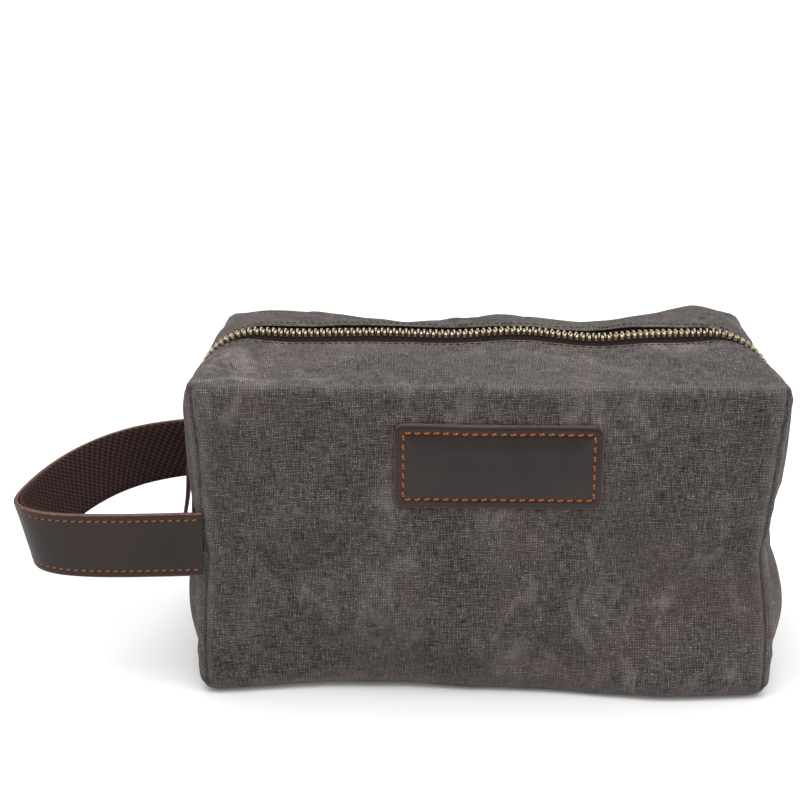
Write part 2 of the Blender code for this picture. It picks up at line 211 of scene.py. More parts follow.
def canvas_material():
    """Dark waxed canvas: two thread directions, broad tones, rubbed patches, pale flecks and painted shade in
    the gaps between threads.
    """
    constants = {"Roughness": 0.78, "Specular_IOR_Level": 0.22, "Sheen_Weight": 0.03}
    material, tree, shader = new_material("canvas", **constants)
    uv, across, along = weave_coordinates(tree)
    place = object_place(tree)
    weave = times(tree, wave(tree, across, 0.0012), wave(tree, along, 0.0012))
    weft = cloud(tree, scaled(tree, uv, (150, 1450, 1)), 1.0, 3.0, 0.7)
    warp = cloud(tree, scaled(tree, uv, (1450, 150, 1)), 1.0, 3.0, 0.7)
    threads = mix_colour(tree, spread(tree, weave, -0.25, 0.25), weft, warp)
    threads = spread(tree, threads, 0.38, 0.62)
    broad = cloud(tree, place, 11.0, 5.0, 0.62, 0.6)
    patchy = cloud(tree, place, 42.0, 4.0, 0.6, 0.8)
    tone = plus(tree, threads, times(tree, patchy, 0.65))
    tone = spread(tree, plus(tree, tone, times(tree, broad, 0.55)), 0.55, 1.65)
    base = mix_colour(tree, tone, colour(23, 20, 19), colour(112, 103, 99))
    base = mix_colour(tree, spread(tree, broad, 0.48, 0.66, 0.0, 0.5), base, colour(86, 73, 68))
    pale = colour(190, 180, 173)
    smudge = cloud(tree, scaled(tree, place, (1.0, 1.0, 0.42), (0.0, 0.7, 0.0)), 62.0, 5.0, 0.7, 0.9)
    where = spread(tree, cloud(tree, place, 17.0, 3.0), 0.42, 0.62)
    rubbed = times(tree, spread(tree, smudge, 0.50, 0.70), where)
    worn = node(tree, "ShaderNodeAttribute", attribute_name="wear").outputs["Fac"]
    worn = times(tree, worn, spread(tree, patchy, 0.3, 0.65, 0.35, 1.0))
    wear = maths(tree, "MAXIMUM", times(tree, rubbed, 0.34), times(tree, worn, 0.45))
    base = mix_colour(tree, wear, base, pale)
    speckle = cloud(tree, uv, 1250.0, 1.0)
    fleck = times(tree, spread(tree, speckle, 0.56, 0.72), spread(tree, threads, 0.25, 0.8))
    base = mix_colour(tree, times(tree, fleck, 0.6), base, pale)
    # Painted shade: the gaps between threads are darkened in the colour.
    shade_gap_across = maths(tree, "ABSOLUTE", wave(tree, across, 0.0015))
    shade_gap_along = maths(tree, "ABSOLUTE", wave(tree, along, 0.0015))
    gap_shade = spread(tree, times(tree, shade_gap_across, shade_gap_along), 0.0, 0.60, 0.12, 1.05)
    base = mix_colour(tree, 1.0, base, gap_shade, "MULTIPLY")
    fine = bump(tree, plus(tree, times(tree, weave, 0.5), threads), 0.00016, 0.8)
    folds = bump(tree, cloud(tree, place, 95.0, 4.0, 0.55, 0.4), 0.0011, 0.35, fine)
    dress(tree, shader, base, folds)
    return material


def tape_material():
    material, tree, shader = new_material("zip_tape", Roughness=0.85, Specular_IOR_Level=0.12)
    _, along, across = weave_coordinates(tree)
    weave = times(tree, wave(tree, along, 0.0009), wave(tree, across, 0.0009))
    twill = wave(tree, plus(tree, along, maths(tree, "ABSOLUTE", across)), 0.0012)
    height = plus(tree, weave, twill)
    base = mix_colour(tree, spread(tree, height, -1.5, 1.5), colour(14, 9, 8), colour(44, 30, 26))
    dress(tree, shader, base, bump(tree, height, 0.00012))
    return material


def lining_material():
    material, tree, shader = new_material("lining_cotton", Roughness=0.9, Sheen_Weight=0.1)
    uv, across, along = weave_coordinates(tree)
    weave = times(tree, wave(tree, across, 0.0007), wave(tree, along, 0.0007))
    slub = cloud(tree, scaled(tree, uv, (90, 1500, 1)), 1.0, 2.0)
    tone = plus(tree, spread(tree, weave, -1, 1, 0.0, 0.5), times(tree, slub, 0.5))
    base = mix_colour(tree, tone, colour(84, 74, 64), colour(128, 116, 102))
    dress(tree, shader, base, bump(tree, weave, 0.0001))
    return material


def brass_material():
    material, tree, shader = new_material("antique_brass", Metallic=0.88)
    place = object_place(tree)
    tarnish = cloud(tree, place, 700.0, 4.0, 0.6)
    base = mix_colour(tree, spread(tree, tarnish, 0.35, 0.65), colour(138, 122, 96), colour(234, 219, 190))
    scuffs = bump(tree, cloud(tree, place, 2400.0, 2.0), 0.00004, 0.5)
    dress(tree, shader, base, scuffs, spread(tree, tarnish, 0.3, 0.7, 0.58, 0.34))
    return material


def leather_material(name, dark, light, roughness):
    material, tree, shader = new_material(name, Specular_IOR_Level=0.34)
    place = object_place(tree)
    broad = cloud(tree, place, 26.0, 5.0, 0.6, 0.5)
    grain = node(tree, "ShaderNodeTexVoronoi", {"Vector": place, "Scale": 1500.0}).outputs["Distance"]
    scratch = cloud(tree, scaled(tree, place, (60, 60, 900)), 1.0, 3.0, 0.6, 0.3)
    base = mix_colour(tree, spread(tree, broad, 0.3, 0.7), dark, light)
    base = mix_colour(tree, spread(tree, scratch, 0.62, 0.72, 0.0, 0.12), base, colour(84, 68, 62))
    gloss = plus(tree, spread(tree, broad, 0.3, 0.7, -0.05, 0.05), roughness)
    creases = bump(tree, cloud(tree, place, 160.0, 3.0), 0.0004, 0.35, bump(tree, grain, 0.00006, 0.5))
    dress(tree, shader, base, creases, plus(tree, gloss, times(tree, grain, 0.08)))
    return material


def edge_material():
    material, tree, shader = new_material("burnished_edge", Roughness=0.45)
    fibre = cloud(tree, object_place(tree), 500.0, 3.0)
    base = mix_colour(tree, spread(tree, fibre, 0.35, 0.65), colour(56, 27, 19), colour(96, 52, 38))
    dress(tree, shader, base, bump(tree, fibre, 0.0002, 0.5))
    return material


def webbing_material():
    material, tree, shader = new_material("cotton_webbing", Roughness=0.85, Specular_IOR_Level=0.15)
    _, along, across = weave_coordinates(tree)
    turn_along = times(tree, along, 2 * math.pi / 0.0038)
    turn_across = times(tree, across, 2 * math.pi / 0.0032)
    shifted = plus(tree, turn_along, times(tree, turn_across, 0.5))
    ribs = times(tree, maths(tree, "SINE", shifted), maths(tree, "SINE", turn_across))
    height = plus(tree, ribs, times(tree, wave(tree, across, 0.0006), 0.3))
    base = mix_colour(tree, spread(tree, height, -1.0, 1.1), colour(14, 9, 8), colour(74, 52, 47))
    dress(tree, shader, base, bump(tree, height, 0.0004, 0.8))
    return material


def thread_material(name, dark, light):
    material, tree, shader = new_material(name, Roughness=0.6, Specular_IOR_Level=0.2)
    _, along, around = weave_coordinates(tree)
    twist = maths(tree, "SINE", plus(tree, along, around))
    dress(tree, shader, mix_colour(tree, spread(tree, twist, -1, 1), dark, light), bump(tree, twist, 0.0001))
    return material


CANVAS = canvas_material()
LINING = lining_material()
TAPE = tape_material()
BRASS = brass_material()
LEATHER = leather_material("strap_leather", colour(27, 17, 15), colour(42, 29, 25), 0.46)
PATCH_LEATHER = leather_material("patch_leather", colour(27, 18, 17), colour(43, 32, 30), 0.33)
EDGE = edge_material()
WEBBING = webbing_material()
ORANGE_THREAD = thread_material("orange_thread", colour(88, 42, 14), colour(190, 104, 40))
DARK_THREAD = thread_material("dark_thread", colour(23, 20, 19), colour(66, 60, 57))
# Near-black colour painted as the shade inside needle holes.
HOLE_SHADE = new_material("needle_hole_shade", Base_Color=colour(14, 9, 8), Roughness=0.9)[0]

# Mesh helpers -----------------------------------------------------------------------------------


def link(name, data):
    """An object with this data, in the scene."""
    made = bpy.data.objects.new(name, data)
    bpy.context.scene.collection.objects.link(made)
    return made


def make_mesh(name, points, faces, materials, indices=None, uvs=None):
    """An object from point and face lists, with a material number for each face and a UV for each corner."""
    mesh = bpy.data.meshes.new(name)
    mesh.from_pydata([tuple(p) for p in points], [], [tuple(int(i) for i in f) for f in faces])
    for material in materials:
        mesh.materials.append(material)
    if indices is not None:
        mesh.polygons.foreach_set("material_index", np.asarray(indices, np.int32))
    if uvs is not None:
        layer = mesh.uv_layers.new(name="UVMap")
        layer.data.foreach_set("uv", np.asarray(uvs, np.float32).ravel())
    mesh.polygons.foreach_set("use_smooth", np.full(len(faces), True))
    mesh.update()
    return link(name, mesh)


def face_outward(made):
    shape = bmesh.new()
    shape.from_mesh(made.data)
    bmesh.ops.recalc_face_normals(shape, faces=shape.faces)
    shape.to_mesh(made.data)
    shape.free()


def ring_faces(count, near, far):
    """Quads between two rings of points that start at two numbers."""
    return [[near + j, near + (j + 1) % count, far + (j + 1) % count, far + j] for j in range(count)]


def hump(value, centre, width):
    return math.exp(-(((value - centre) / width) ** 2))


def smooth_step(value, low, high):
    share = min(max((value - low) / (high - low), 0.0), 1.0)
    return share * share * (3 - 2 * share)


# The bag's shape --------------------------------------------------------------------------------


def swell(y):
    return 1 - min(abs(y) / HALF_DEPTH, 1.0) ** 2


def narrowing(z, most):
    """How far the end seams pull in, most just below mid height."""
    return most * hump(z, 0.068, 0.028) - 0.0030 * smooth_step(z, 0.11, HEIGHT)


def end_bulge(y, z, most):
    """The end panels stand proud of their seams, less at the level of the seam where the zip ends."""
    fullness = 1.0 - 0.30 * hump(z, ZIP_FOOT + 0.002, 0.010) - 0.45 * smooth_step(0.03 - z, 0.0, 0.03)
    pillow = hump(abs(y), 0.044, 0.020) * (0.1 * hump(z, 0.112, 0.024) + 0.75 * hump(z, 0.044, 0.022))
    return END_BULGE * swell(y) * fullness + most * pillow


def zip_drift(x):
    """The zip wanders a little between front and back."""
    return 0.0035 * hump(x, 0.018, 0.022) - 0.0028 * hump(x, 0.056, 0.018) + 0.0025 * hump(x, 0.096, 0.018)


def lid_lift(x, y):
    """Gentle rise and fall of the top."""
    back = smooth_step(y, 0.0, HALF_DEPTH)
    sag = 0.0030 * hump(x, -0.040, 0.030) + 0.0030 * hump(x, 0.056, 0.022)
    rise = 0.0026 * hump(x, -0.100, 0.035) + 0.0064 * hump(x, 0.118, 0.030)
    ripple = 0.0012 * noise.noise(Vector((x * 30, y * 14, 0.3)))
    front = 1 - smooth_step(y, -HALF_DEPTH, 0.0)
    crease = -0.0016 * hump(x, -0.075, 0.030) * hump(y, -0.048, 0.010) * front
    hems = 0.0012 * hump(y, 0.014, 0.010) - 0.0018 * hump(y, -0.013, 0.014)
    hems *= 1 - smooth_step(abs(x), 0.090, 0.122)
    return back * (rise - sag) + ripple * (1 - hump(abs(y), FOLD_Y, 0.006)) + crease + hems


def wall_push(x, z, front):
    """How far the front or back wall stands proud of flat."""
    share = max(0.0, 1 - (x / HALF_LENGTH) ** 2)
    belly = 0.0026 * share * math.sin(math.pi * min(max(z / HEIGHT, 0), 1))
    low = smooth_step(0.055 - z, 0.0, 0.05)
    bulges = 0.0085 * hump(x, 0.088, 0.046) + 0.0045 * hump(x, -0.125, 0.026)
    wall_wave = low * (bulges - 0.0022 * hump(x, -0.052, 0.040))
    ripple = 0.0010 * noise.noise(Vector((x * 22, z * 18, 4.2 if front else 9.1)))
    return belly + wall_wave + ripple


def soft_point(x, y, z):
    """Bend a point of the plain box onto the bag's surface."""
    top_radius = 0.004 + 0.023 * swell(y)
    base_radius = 0.009
    upper = z > HEIGHT / 2
    radius = top_radius if upper else base_radius
    long_edge = 0.0055 if upper else 0.0045
    end_edge = 0.0036
    edge_y = end_edge + (long_edge - end_edge) * (1 - smooth_step(abs(x), 0.110, HALF_LENGTH))
    core = Vector((
        min(max(x, radius - HALF_LENGTH), HALF_LENGTH - radius),
        min(max(y, edge_y - HALF_DEPTH), HALF_DEPTH - edge_y),
        min(max(z, base_radius), HEIGHT - top_radius),
    ))
    size = Vector((radius, edge_y, radius))
    away = Vector(((x - core.x) / size.x, (y - core.y) / size.y, (z - core.z) / size.z))
    if away.length > 0:
        away.normalize()
    point = core + Vector((away.x * size.x, away.y * size.y, away.z * size.z))
    near_end = (abs(point.x) / HALF_LENGTH) ** 4
    side = math.copysign(1.0, point.x)
    off_zip = smooth_step(abs(y), 0.008, 0.034)
    most_out, most_in = (0.0055, 0.0050) if side > 0 else (0.0028, 0.0018)
    point.x += side * near_end * (end_bulge(y, point.z, most_out) - narrowing(point.z, most_in) * off_zip)
    lid = smooth_step(point.z, HEIGHT * 0.6, HEIGHT)
    middle = 1 - smooth_step(abs(point.y), 0.012, FOLD_Y)
    inner = 1 - smooth_step(abs(point.x), 0.105, HALF_LENGTH)
    point.y += lid * middle * zip_drift(point.x)
    beside_zip = smooth_step(abs(y), 0.0, SLOT_HALF_WIDTH) * (1 - smooth_step(abs(y), SLOT_HALF_WIDTH, 0.034))
    point.y += lid * beside_zip * (-0.0022 if y < 0 else 0.0036)
    point.z += lid * CROWN * swell(point.y) + lid * (0.35 + 0.65 * inner) * lid_lift(point.x, point.y)
    point.x *= 1 - 0.028 * lid * smooth_step(point.y, 0.0, HALF_DEPTH)
    walls = smooth_step(abs(y), HALF_DEPTH - 0.012, HALF_DEPTH)
    front = point.y < 0
    push = wall_push(point.x, point.z, front) * walls * (1 - smooth_step(point.z, HEIGHT - 0.02, HEIGHT))
    point.y += -push if front else push
    base_lift = 0.0022 * hump(point.x, -0.055, 0.045) * hump(point.y, -HALF_DEPTH, 0.014)
    point.z += base_lift * hump(point.z, 0.0, 0.012)
    return point


def lines(low, high, step, kept):
    """Grid lines about a step apart that pass through every kept value."""
    stops = sorted({low, high, *kept})
    made = [low]
    for near, far in zip(stops, stops[1:]):
        count = max(1, round((far - near) / step))
        made += [near + (far - near) * (i + 1) / count for i in range(count)]
    return made


def mirrored(values):
    return [sign * value for value in values for sign in (-1, 1)]


WRAP, LEFT_END, RIGHT_END, FRONT_LEFT, FRONT_RIGHT, BACK_LEFT, BACK_RIGHT = range(7)


def face_label(side, x, y, z):
    """Which panel a face of the box belongs to, or None in the zip's slot."""
    in_slot = abs(y) < SLOT_HALF_WIDTH
    if side in ("left", "right"):
        if in_slot and z > ZIP_FOOT:
            return None
        return LEFT_END if side == "left" else RIGHT_END
    if side != "top":
        return WRAP
    if in_slot:
        return None
    if abs(x) > LID_HALF_LENGTH or abs(y) > FOLD_Y:
        return WRAP
    if y < 0:
        return FRONT_LEFT if x < 0 else FRONT_RIGHT
    return BACK_LEFT if x < 0 else BACK_RIGHT


def unrolled(side, x, y, z):
    """A flat coordinate for the weave: the wrap unrolls from base to lid, the ends lie flat."""
    if side in ("left", "right"):
        return y, z
    if side == "front":
        return x, z
    if side == "top":
        return x, HEIGHT + y + HALF_DEPTH
    if side == "back":
        return x, 2 * HEIGHT + 2 * HALF_DEPTH - z
    return x, -y - HALF_DEPTH


def coarse_bag():
    """The cage of the bag: points, faces, panel labels and weave coordinates."""
    seam = (0.0, 0.0012, 0.0026, 0.005, 0.009)
    step = 0.0048
    kept_x = mirrored([HALF_LENGTH - s for s in seam] + [LID_HALF_LENGTH]) + [0.0]
    kept_y = [HALF_DEPTH - s for s in seam[:3]] + [FOLD_Y, SLOT_HALF_WIDTH, SLOT_HALF_WIDTH + 0.0012]
    kept_z = [ZIP_FOOT, 0.002, 0.005, 0.010, HEIGHT - 0.005, HEIGHT - 0.0022]
    grid = (
        lines(-HALF_LENGTH, HALF_LENGTH, step, kept_x),
        lines(-HALF_DEPTH, HALF_DEPTH, step, mirrored(kept_y)),
        lines(0.0, HEIGHT, step, kept_z),
    )
    last = [len(g) - 1 for g in grid]
    number, points, faces, labels, uvs = {}, [], [], [], []

    def vertex(key):
        if key not in number:
            number[key] = len(points)
            points.append([grid[axis][key[axis]] for axis in range(3)])
        return number[key]

    sides = (
        ("left", 0, 0, True),
        ("right", 0, last[0], False),
        ("front", 1, 0, False),
        ("back", 1, last[1], True),
        ("base", 2, 0, True),
        ("top", 2, last[2], False),
    )
    for side, axis, level, flipped in sides:
        first, second = [a for a in range(3) if a != axis]
        for i in range(last[first]):
            for j in range(last[second]):
                keys = []
                for di, dj in ((0, 0), (1, 0), (1, 1), (0, 1)):
                    key = [0, 0, 0]
                    key[axis], key[first], key[second] = level, i + di, j + dj
                    keys.append(tuple(key))
                if flipped:
                    keys.reverse()
                corners = [[grid[a][key[a]] for a in range(3)] for key in keys]
                middle = [sum(c[a] for c in corners) / 4 for a in range(3)]
                label = face_label(side, *middle)
                if label is None:
                    continue
                faces.append([vertex(key) for key in keys])
                labels.append(label)
                uvs += [unrolled(side, *corner) for corner in corners]
    return points, faces, labels, uvs


def held(x, y, z):
    """How firmly cloth keeps its place: 1 along seams, folds, the zip and the base, and under the patch."""
    from_end = HALF_LENGTH - abs(x)
    from_wall = HALF_DEPTH - abs(y)
    on_wall = from_wall < 1e-6
    on_end = from_end < 1e-6
    firm = 0.0
    if on_wall:
        firm = max(firm, hump(from_end, 0.0, 0.005), 0.85 * hump(HEIGHT - z, 0.0, 0.006), hump(z, 0.0, 0.010))
    if on_end:
        firm = max(firm, hump(from_wall, 0.0, 0.006), hump(z, 0.0, 0.010))
        firm = max(firm, hump(abs(y) - SLOT_HALF_WIDTH, 0.0, 0.006) if z > ZIP_FOOT - 0.004 else 0.0)
        firm = max(firm, 0.8 * hump(z, ZIP_FOOT, 0.005))
    if z > HEIGHT - 1e-6:
        firm = max(firm, hump(abs(y), SLOT_HALF_WIDTH, 0.006), 0.85 * hump(from_wall, 0.0, 0.006))
        firm = max(firm, hump(from_end, 0.0, 0.006))
    if z < 1e-6:
        firm = 1.0
    in_patch_x = PATCH_LOW.x - 0.004 < x < PATCH_HIGH.x + 0.004
    if y < 0 and on_wall and in_patch_x and PATCH_LOW.z - 0.004 < z < PATCH_HIGH.z + 0.004:
        firm = 1.0
    return min(firm, 1.0)


def relax(cage, firmness, box_points):
    """Let the canvas settle as cloth cut slightly large and held along its seams, and keep a limited move."""
    group = cage.vertex_groups.new(name="held")
    for i, value in enumerate(firmness):
        group.add([i], value, "REPLACE")
    cloth = cage.modifiers.new("settle", "CLOTH")
    settings = {
        "quality": 6,
        "mass": 0.15,
        "tension_stiffness": 40,
        "compression_stiffness": 40,
        "shear_stiffness": 18,
        "bending_stiffness": 3.0,
        "tension_damping": 20,
        "compression_damping": 20,
        "shear_damping": 20,
        "vertex_group_mass": "held",
        "pin_stiffness": 8.0,
        "shrink_min": -CLOTH_EXTRA,
        "shrink_max": -CLOTH_EXTRA,
        "use_pressure": True,
        "uniform_pressure_force": 0.5,
    }
    for key, value in settings.items():
        setattr(cloth.settings, key, value)
    cloth.settings.effector_weights.gravity = 0.3
    cloth.collision_settings.use_collision = False
    scene = bpy.context.scene
    scene.frame_start, scene.frame_end = 1, CLOTH_FRAMES
    cloth.point_cache.frame_start, cloth.point_cache.frame_end = 1, CLOTH_FRAMES
    for number in range(1, CLOTH_FRAMES + 1):
        scene.frame_set(number)
    settled = cage.evaluated_get(bpy.context.evaluated_depsgraph_get()).to_mesh()
    moved = np.zeros(len(settled.vertices) * 3)
    settled.vertices.foreach_get("co", moved)
    moved = moved.reshape(-1, 3)
    cage.modifiers.remove(cloth)
    step = moved - box_points
    length = np.linalg.norm(step, axis=1, keepdims=True)
    capped = step / np.maximum(length, 1e-9) * LONGEST_MOVE * np.tanh(length / LONGEST_MOVE)
    cage.data.vertices.foreach_set("co", (box_points + capped).ravel())
    cage.data.update()
    scene.frame_set(1)


def crease_line(x, y, z):
    """A sharp crease that leaves the left front corner of the lid and fades out along the top."""
    if z < HEIGHT - 1e-6:
        return 0.0
    middle = -0.0655 + 0.15 * (x + HALF_LENGTH)
    return hump(y, middle, 0.0013) * (1 - smooth_step(x, -0.085, -0.055))


def seam_depth(x, y, z):
    """How far seams, the zip's hem and the crease draw the cloth in at a point of the plain box."""
    depth = -0.0007 * crease_line(x, y, z)
    from_end = HALF_LENGTH - abs(x)
    from_wall = HALF_DEPTH - abs(y)
    if from_wall < 1e-6:
        depth = 0.0017 * hump(from_end, 0.0012, 0.0013)
        pucker = 0.00045 * math.sin(z * 620 + 2 * math.sin(z * 90)) * hump(from_end, 0.006, 0.006)
        depth += pucker
    if from_end < 1e-6:
        depth += 0.0014 * hump(z, ZIP_FOOT - 0.001, 0.0022) * smooth_step(abs(y), SLOT_HALF_WIDTH, 0.012)
        depth += 0.0004 * math.sin(z * 540 + 1.0) * hump(from_wall, 0.006, 0.007)
    hem = abs(abs(y) - SLOT_HALF_WIDTH)
    on_slot = z > HEIGHT - 1e-6 or (from_end < 1e-6 and z > ZIP_FOOT)
    if on_slot:
        depth += 0.0007 * hump(hem, 0.0, 0.0007) - 0.0010 * hump(hem, 0.0030, 0.0028)
        depth += 0.0004 * hump(hem, 0.0042, 0.0008)
    return depth


def wear_of(x, y, z):
    """Where the wax is rubbed pale: the folds, the corners and the seams' edges."""
    from_end = HALF_LENGTH - abs(x)
    from_wall = HALF_DEPTH - abs(y)
    from_top = HEIGHT - z
    fold = math.hypot(from_wall, from_top)
    rim = math.hypot(from_end, from_wall)
    end = math.hypot(from_end, from_top)
    base = math.hypot(from_wall, z)
    worn = max(0.40 * hump(fold, 0.0, 0.0028), 0.45 * hump(rim, 0.003, 0.003), 0.35 * hump(end, 0.0, 0.006))
    return max(worn, 0.4 * hump(base, 0.0, 0.005), 0.9 * crease_line(x, y, z))


def mesh_arrays(mesh):
    points = np.zeros(len(mesh.vertices) * 3)
    mesh.vertices.foreach_get("co", points)
    faces = np.zeros(len(mesh.loops), np.int64)
    mesh.loops.foreach_get("vertex_index", faces)
    labels = np.zeros(len(mesh.polygons), np.int32)
    mesh.polygons.foreach_get("material_index", labels)
    uvs = np.zeros(len(mesh.loops) * 2)
    mesh.uv_layers[0].data.foreach_get("uv", uvs)
    return points.reshape(-1, 3), faces.reshape(-1, 4), labels, uvs.reshape(-1, 4, 2)


def unit_rows(rows):
    return rows / np.maximum(np.linalg.norm(rows, axis=1, keepdims=True), 1e-12)


def vertex_normals(points, faces):
    diagonal_a = points[faces[:, 2]] - points[faces[:, 0]]
    diagonal_b = points[faces[:, 3]] - points[faces[:, 1]]
    weighted = np.cross(diagonal_a, diagonal_b)
    normals = np.zeros_like(points)
    for corner in range(4):
        np.add.at(normals, faces[:, corner], weighted)
    return unit_rows(normals)


def settle_bag():
    """The finished canvas as arrays: points, normals, quads, labels, weave coordinates and wear."""
    box, faces, labels, uvs = coarse_bag()
    bent = np.array([soft_point(*point) for point in box])
    cage = make_mesh("cage", bent, faces, [CANVAS] * 7, labels, uvs)
    for key, rule in (("depth", seam_depth), ("wear", wear_of)):
        layer = cage.data.attributes.new(key, "FLOAT", "POINT")
        layer.data.foreach_set("value", [rule(*point) for point in box])
    relax(cage, [held(*point) for point in box], bent)
    refine = cage.modifiers.new("refine", "SUBSURF")
    refine.levels = refine.render_levels = 1
    fine = bpy.data.meshes.new_from_object(cage.evaluated_get(bpy.context.evaluated_depsgraph_get()))
    points, quads, labels, uvs = mesh_arrays(fine)
    extra = {}
    for key in ("depth", "wear"):
        extra[key] = np.zeros(len(points))
        fine.attributes[key].data.foreach_get("value", extra[key])
    bpy.data.objects.remove(cage)
    normals = vertex_normals(points, quads)
    calm = np.array([1 - 0.85 * under_patch(p) for p in points])
    ripple = np.array([cloth_ripple(Vector(p)) for p in points]) * calm
    points = points + normals * (ripple - extra["depth"])[:, None]
    return points, vertex_normals(points, quads), quads, labels, uvs, extra["wear"]


def inside(value, low, high, fade):
    """1 between two values, falling to 0 over a distance beyond them."""
    return smooth_step(value, low - fade, low) * (1 - smooth_step(value, high, high + fade))


def under_patch(point):
    if point[1] > 0:
        return 0.0
    across = inside(point[0], PATCH_LOW.x, PATCH_HIGH.x, 0.012)
    return across * inside(point[2], PATCH_LOW.z, PATCH_HIGH.z, 0.010)


def cloth_ripple(point):
    """Small irregular waves of used canvas."""
    coarse = 0.00050 * noise.noise(point * 38)
    fine = 0.00022 * noise.noise(point * 95 + Vector((3, 1, 7)))
    return coarse + fine


POINTS, NORMALS, QUADS, LABELS, WEAVE_UV, WEAR = settle_bag()


def boundary_edges(faces):
    """The edges that only one face has, in that face's direction."""
    edges = dict.fromkeys((a, b) for face in faces for a, b in zip(face, np.roll(face, -1)))
    return [(a, b) for a, b in edges if (b, a) not in edges]


def cloth_piece(name, chosen, outer, inner, material):
    """A layer of the chosen faces between two depths below the surface, with smooth shared normals."""
    faces = QUADS[chosen]
    used, local = np.unique(faces, return_inverse=True)
    local = local.reshape(-1, 4)
    count = len(used)
    rim = boundary_edges(local)
    rim_quads = np.array([(a + count, b + count, b, a) for a, b in rim])
    quads = np.concatenate([local, local[:, ::-1] + count, rim_quads])
    points = np.concatenate([POINTS[used] - NORMALS[used] * outer, POINTS[used] - NORMALS[used] * inner])
    uv_top = WEAVE_UV[chosen]
    uv_of = dict(zip(local.ravel().tolist(), uv_top.reshape(-1, 2)))
    uv_rim = np.array([[uv_of[a], uv_of[b], uv_of[b], uv_of[a]] for a, b in rim])
    uvs = np.concatenate([uv_top, uv_top[:, ::-1], uv_rim])
    made = make_mesh(name, points, quads, [material], None, uvs.reshape(-1, 2))
    layer = made.data.attributes.new("wear", "FLOAT", "POINT")
    layer.data.foreach_set("value", np.concatenate([WEAR[used], WEAR[used] * 0]).astype(np.float32))
    rim_long = points[rim_quads[:, 2]] - points[rim_quads[:, 0]]
    rim_cross = points[rim_quads[:, 3]] - points[rim_quads[:, 1]]
    split = np.concatenate([
        NORMALS[used][local].reshape(-1, 3),
        -NORMALS[used][local[:, ::-1]].reshape(-1, 3),
        np.repeat(unit_rows(np.cross(rim_long, rim_cross)), 4, axis=0),
    ])
    made.data.normals_split_custom_set(split.tolist())
    return made


LID_HALVES = (
    ("front", "left", FRONT_LEFT, -1),
    ("front", "right", FRONT_RIGHT, 1),
    ("back", "left", BACK_LEFT, -1),
    ("back", "right", BACK_RIGHT, 1),
)


def bend_lid(piece):
    """Bake a half of the lid's placement into its mesh; it is neither bent nor bound to a body."""
    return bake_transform(piece)


def fold_band(name, half, sx):
    """A turning of canvas along the lid's fold that stays with the wall, behind the fold."""
    side = -1 if half == "front" else 1
    middles = POINTS[QUADS].mean(axis=1)
    near_fold = np.abs(middles[:, 1] * side - FOLD_Y) < FOLD_BAND
    on_lid = (middles[:, 2] > HEIGHT - 0.01) & (np.abs(middles[:, 0]) < LID_HALF_LENGTH)
    piece = cloth_piece(name, near_fold & on_lid & (middles[:, 0] * sx > 0), *BAND_DEPTHS, CANVAS)
    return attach(piece, "bag")


def make_canvas():
    wall = np.isin(LABELS, [WRAP, LEFT_END, RIGHT_END])
    body = cloth_piece("canvas_body", wall, 0.0, CANVAS_THICKNESS, CANVAS)
    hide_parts("main_panel", "left_end_panel", "right_end_panel")
    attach(body, "bag")
    lining = cloth_piece("lining_body", wall, *LINING_DEPTHS, LINING)
    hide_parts("body_lining")
    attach(lining, "bag")
    for half, end, label, sx in LID_HALVES:
        quarter = LABELS == label
        top = cloth_piece(f"canvas_{half}_{end}", quarter, 0.0, CANVAS_THICKNESS, CANVAS)
        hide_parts(f"{half}_top_panel")
        bend_lid(top)
        fold_band(f"fold_band_{half}_{end}", half, sx)
        under = cloth_piece(f"lining_{half}_{end}", quarter, *LINING_DEPTHS, LINING)
        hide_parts(f"{half}_top_lining")
        bend_lid(under)


make_canvas()

# The zip ----------------------------------------------------------------------------------------


FOOT_POINTS = 90
TOP_POINTS = 418


def zip_line():
    """Points and running lengths along the middle of the zip, from the left foot to the right one."""
    plain = [(-HALF_LENGTH, z) for z in np.linspace(ZIP_FOOT - 0.002, HEIGHT, FOOT_POINTS)]
    plain += [(x, HEIGHT) for x in np.linspace(-HALF_LENGTH, HALF_LENGTH, TOP_POINTS + 2)[1:-1]]
    plain += [(HALF_LENGTH, z) for z in np.linspace(HEIGHT, ZIP_FOOT - 0.002, FOOT_POINTS)]
    path = np.array([soft_point(x, 0.0, z) for x, z in plain])
    for _ in range(12):
        path[1:-1] = (path[:-2] + 2 * path[1:-1] + path[2:]) / 4
    run = np.concatenate([[0], np.cumsum(np.linalg.norm(np.diff(path, axis=0), axis=1))])
    middle = np.interp(0.0, path[:, 0], run)
    return path, run - middle


ZIP_PATH, ZIP_RUN = zip_line()


def lid_run():
    """Running length from the middle of the zip to the end of the lid's free edge."""
    top = slice(FOOT_POINTS, FOOT_POINTS + TOP_POINTS)
    corner = soft_point(LID_HALF_LENGTH, 0.0, HEIGHT).x
    return float(np.interp(corner, ZIP_PATH[top, 0], ZIP_RUN[top]))


LID_RUN = lid_run()


def zip_place(s):
    return np.array([np.interp(s, ZIP_RUN, ZIP_PATH[:, axis]) for axis in range(3)])


def on_zip(s, across, out):
    """A point beside and above the zip's line: across towards the back, out from the bag."""
    here = zip_place(s)
    ahead, behind = zip_place(s + 0.002), zip_place(s - 0.002)
    along = (ahead - behind) / np.linalg.norm(ahead - behind)
    sideways = np.array([0.0, 1.0, 0.0]) - along * along[1]
    sideways /= np.linalg.norm(sideways)
    normal = np.cross(along, sideways)
    if normal[2] < 0 and abs(normal[2]) > 0.3:
        normal = -normal
    if abs(normal[2]) <= 0.3 and normal[0] * here[0] < 0:
        normal = -normal
    return here + sideways * across + normal * out, along, sideways, normal


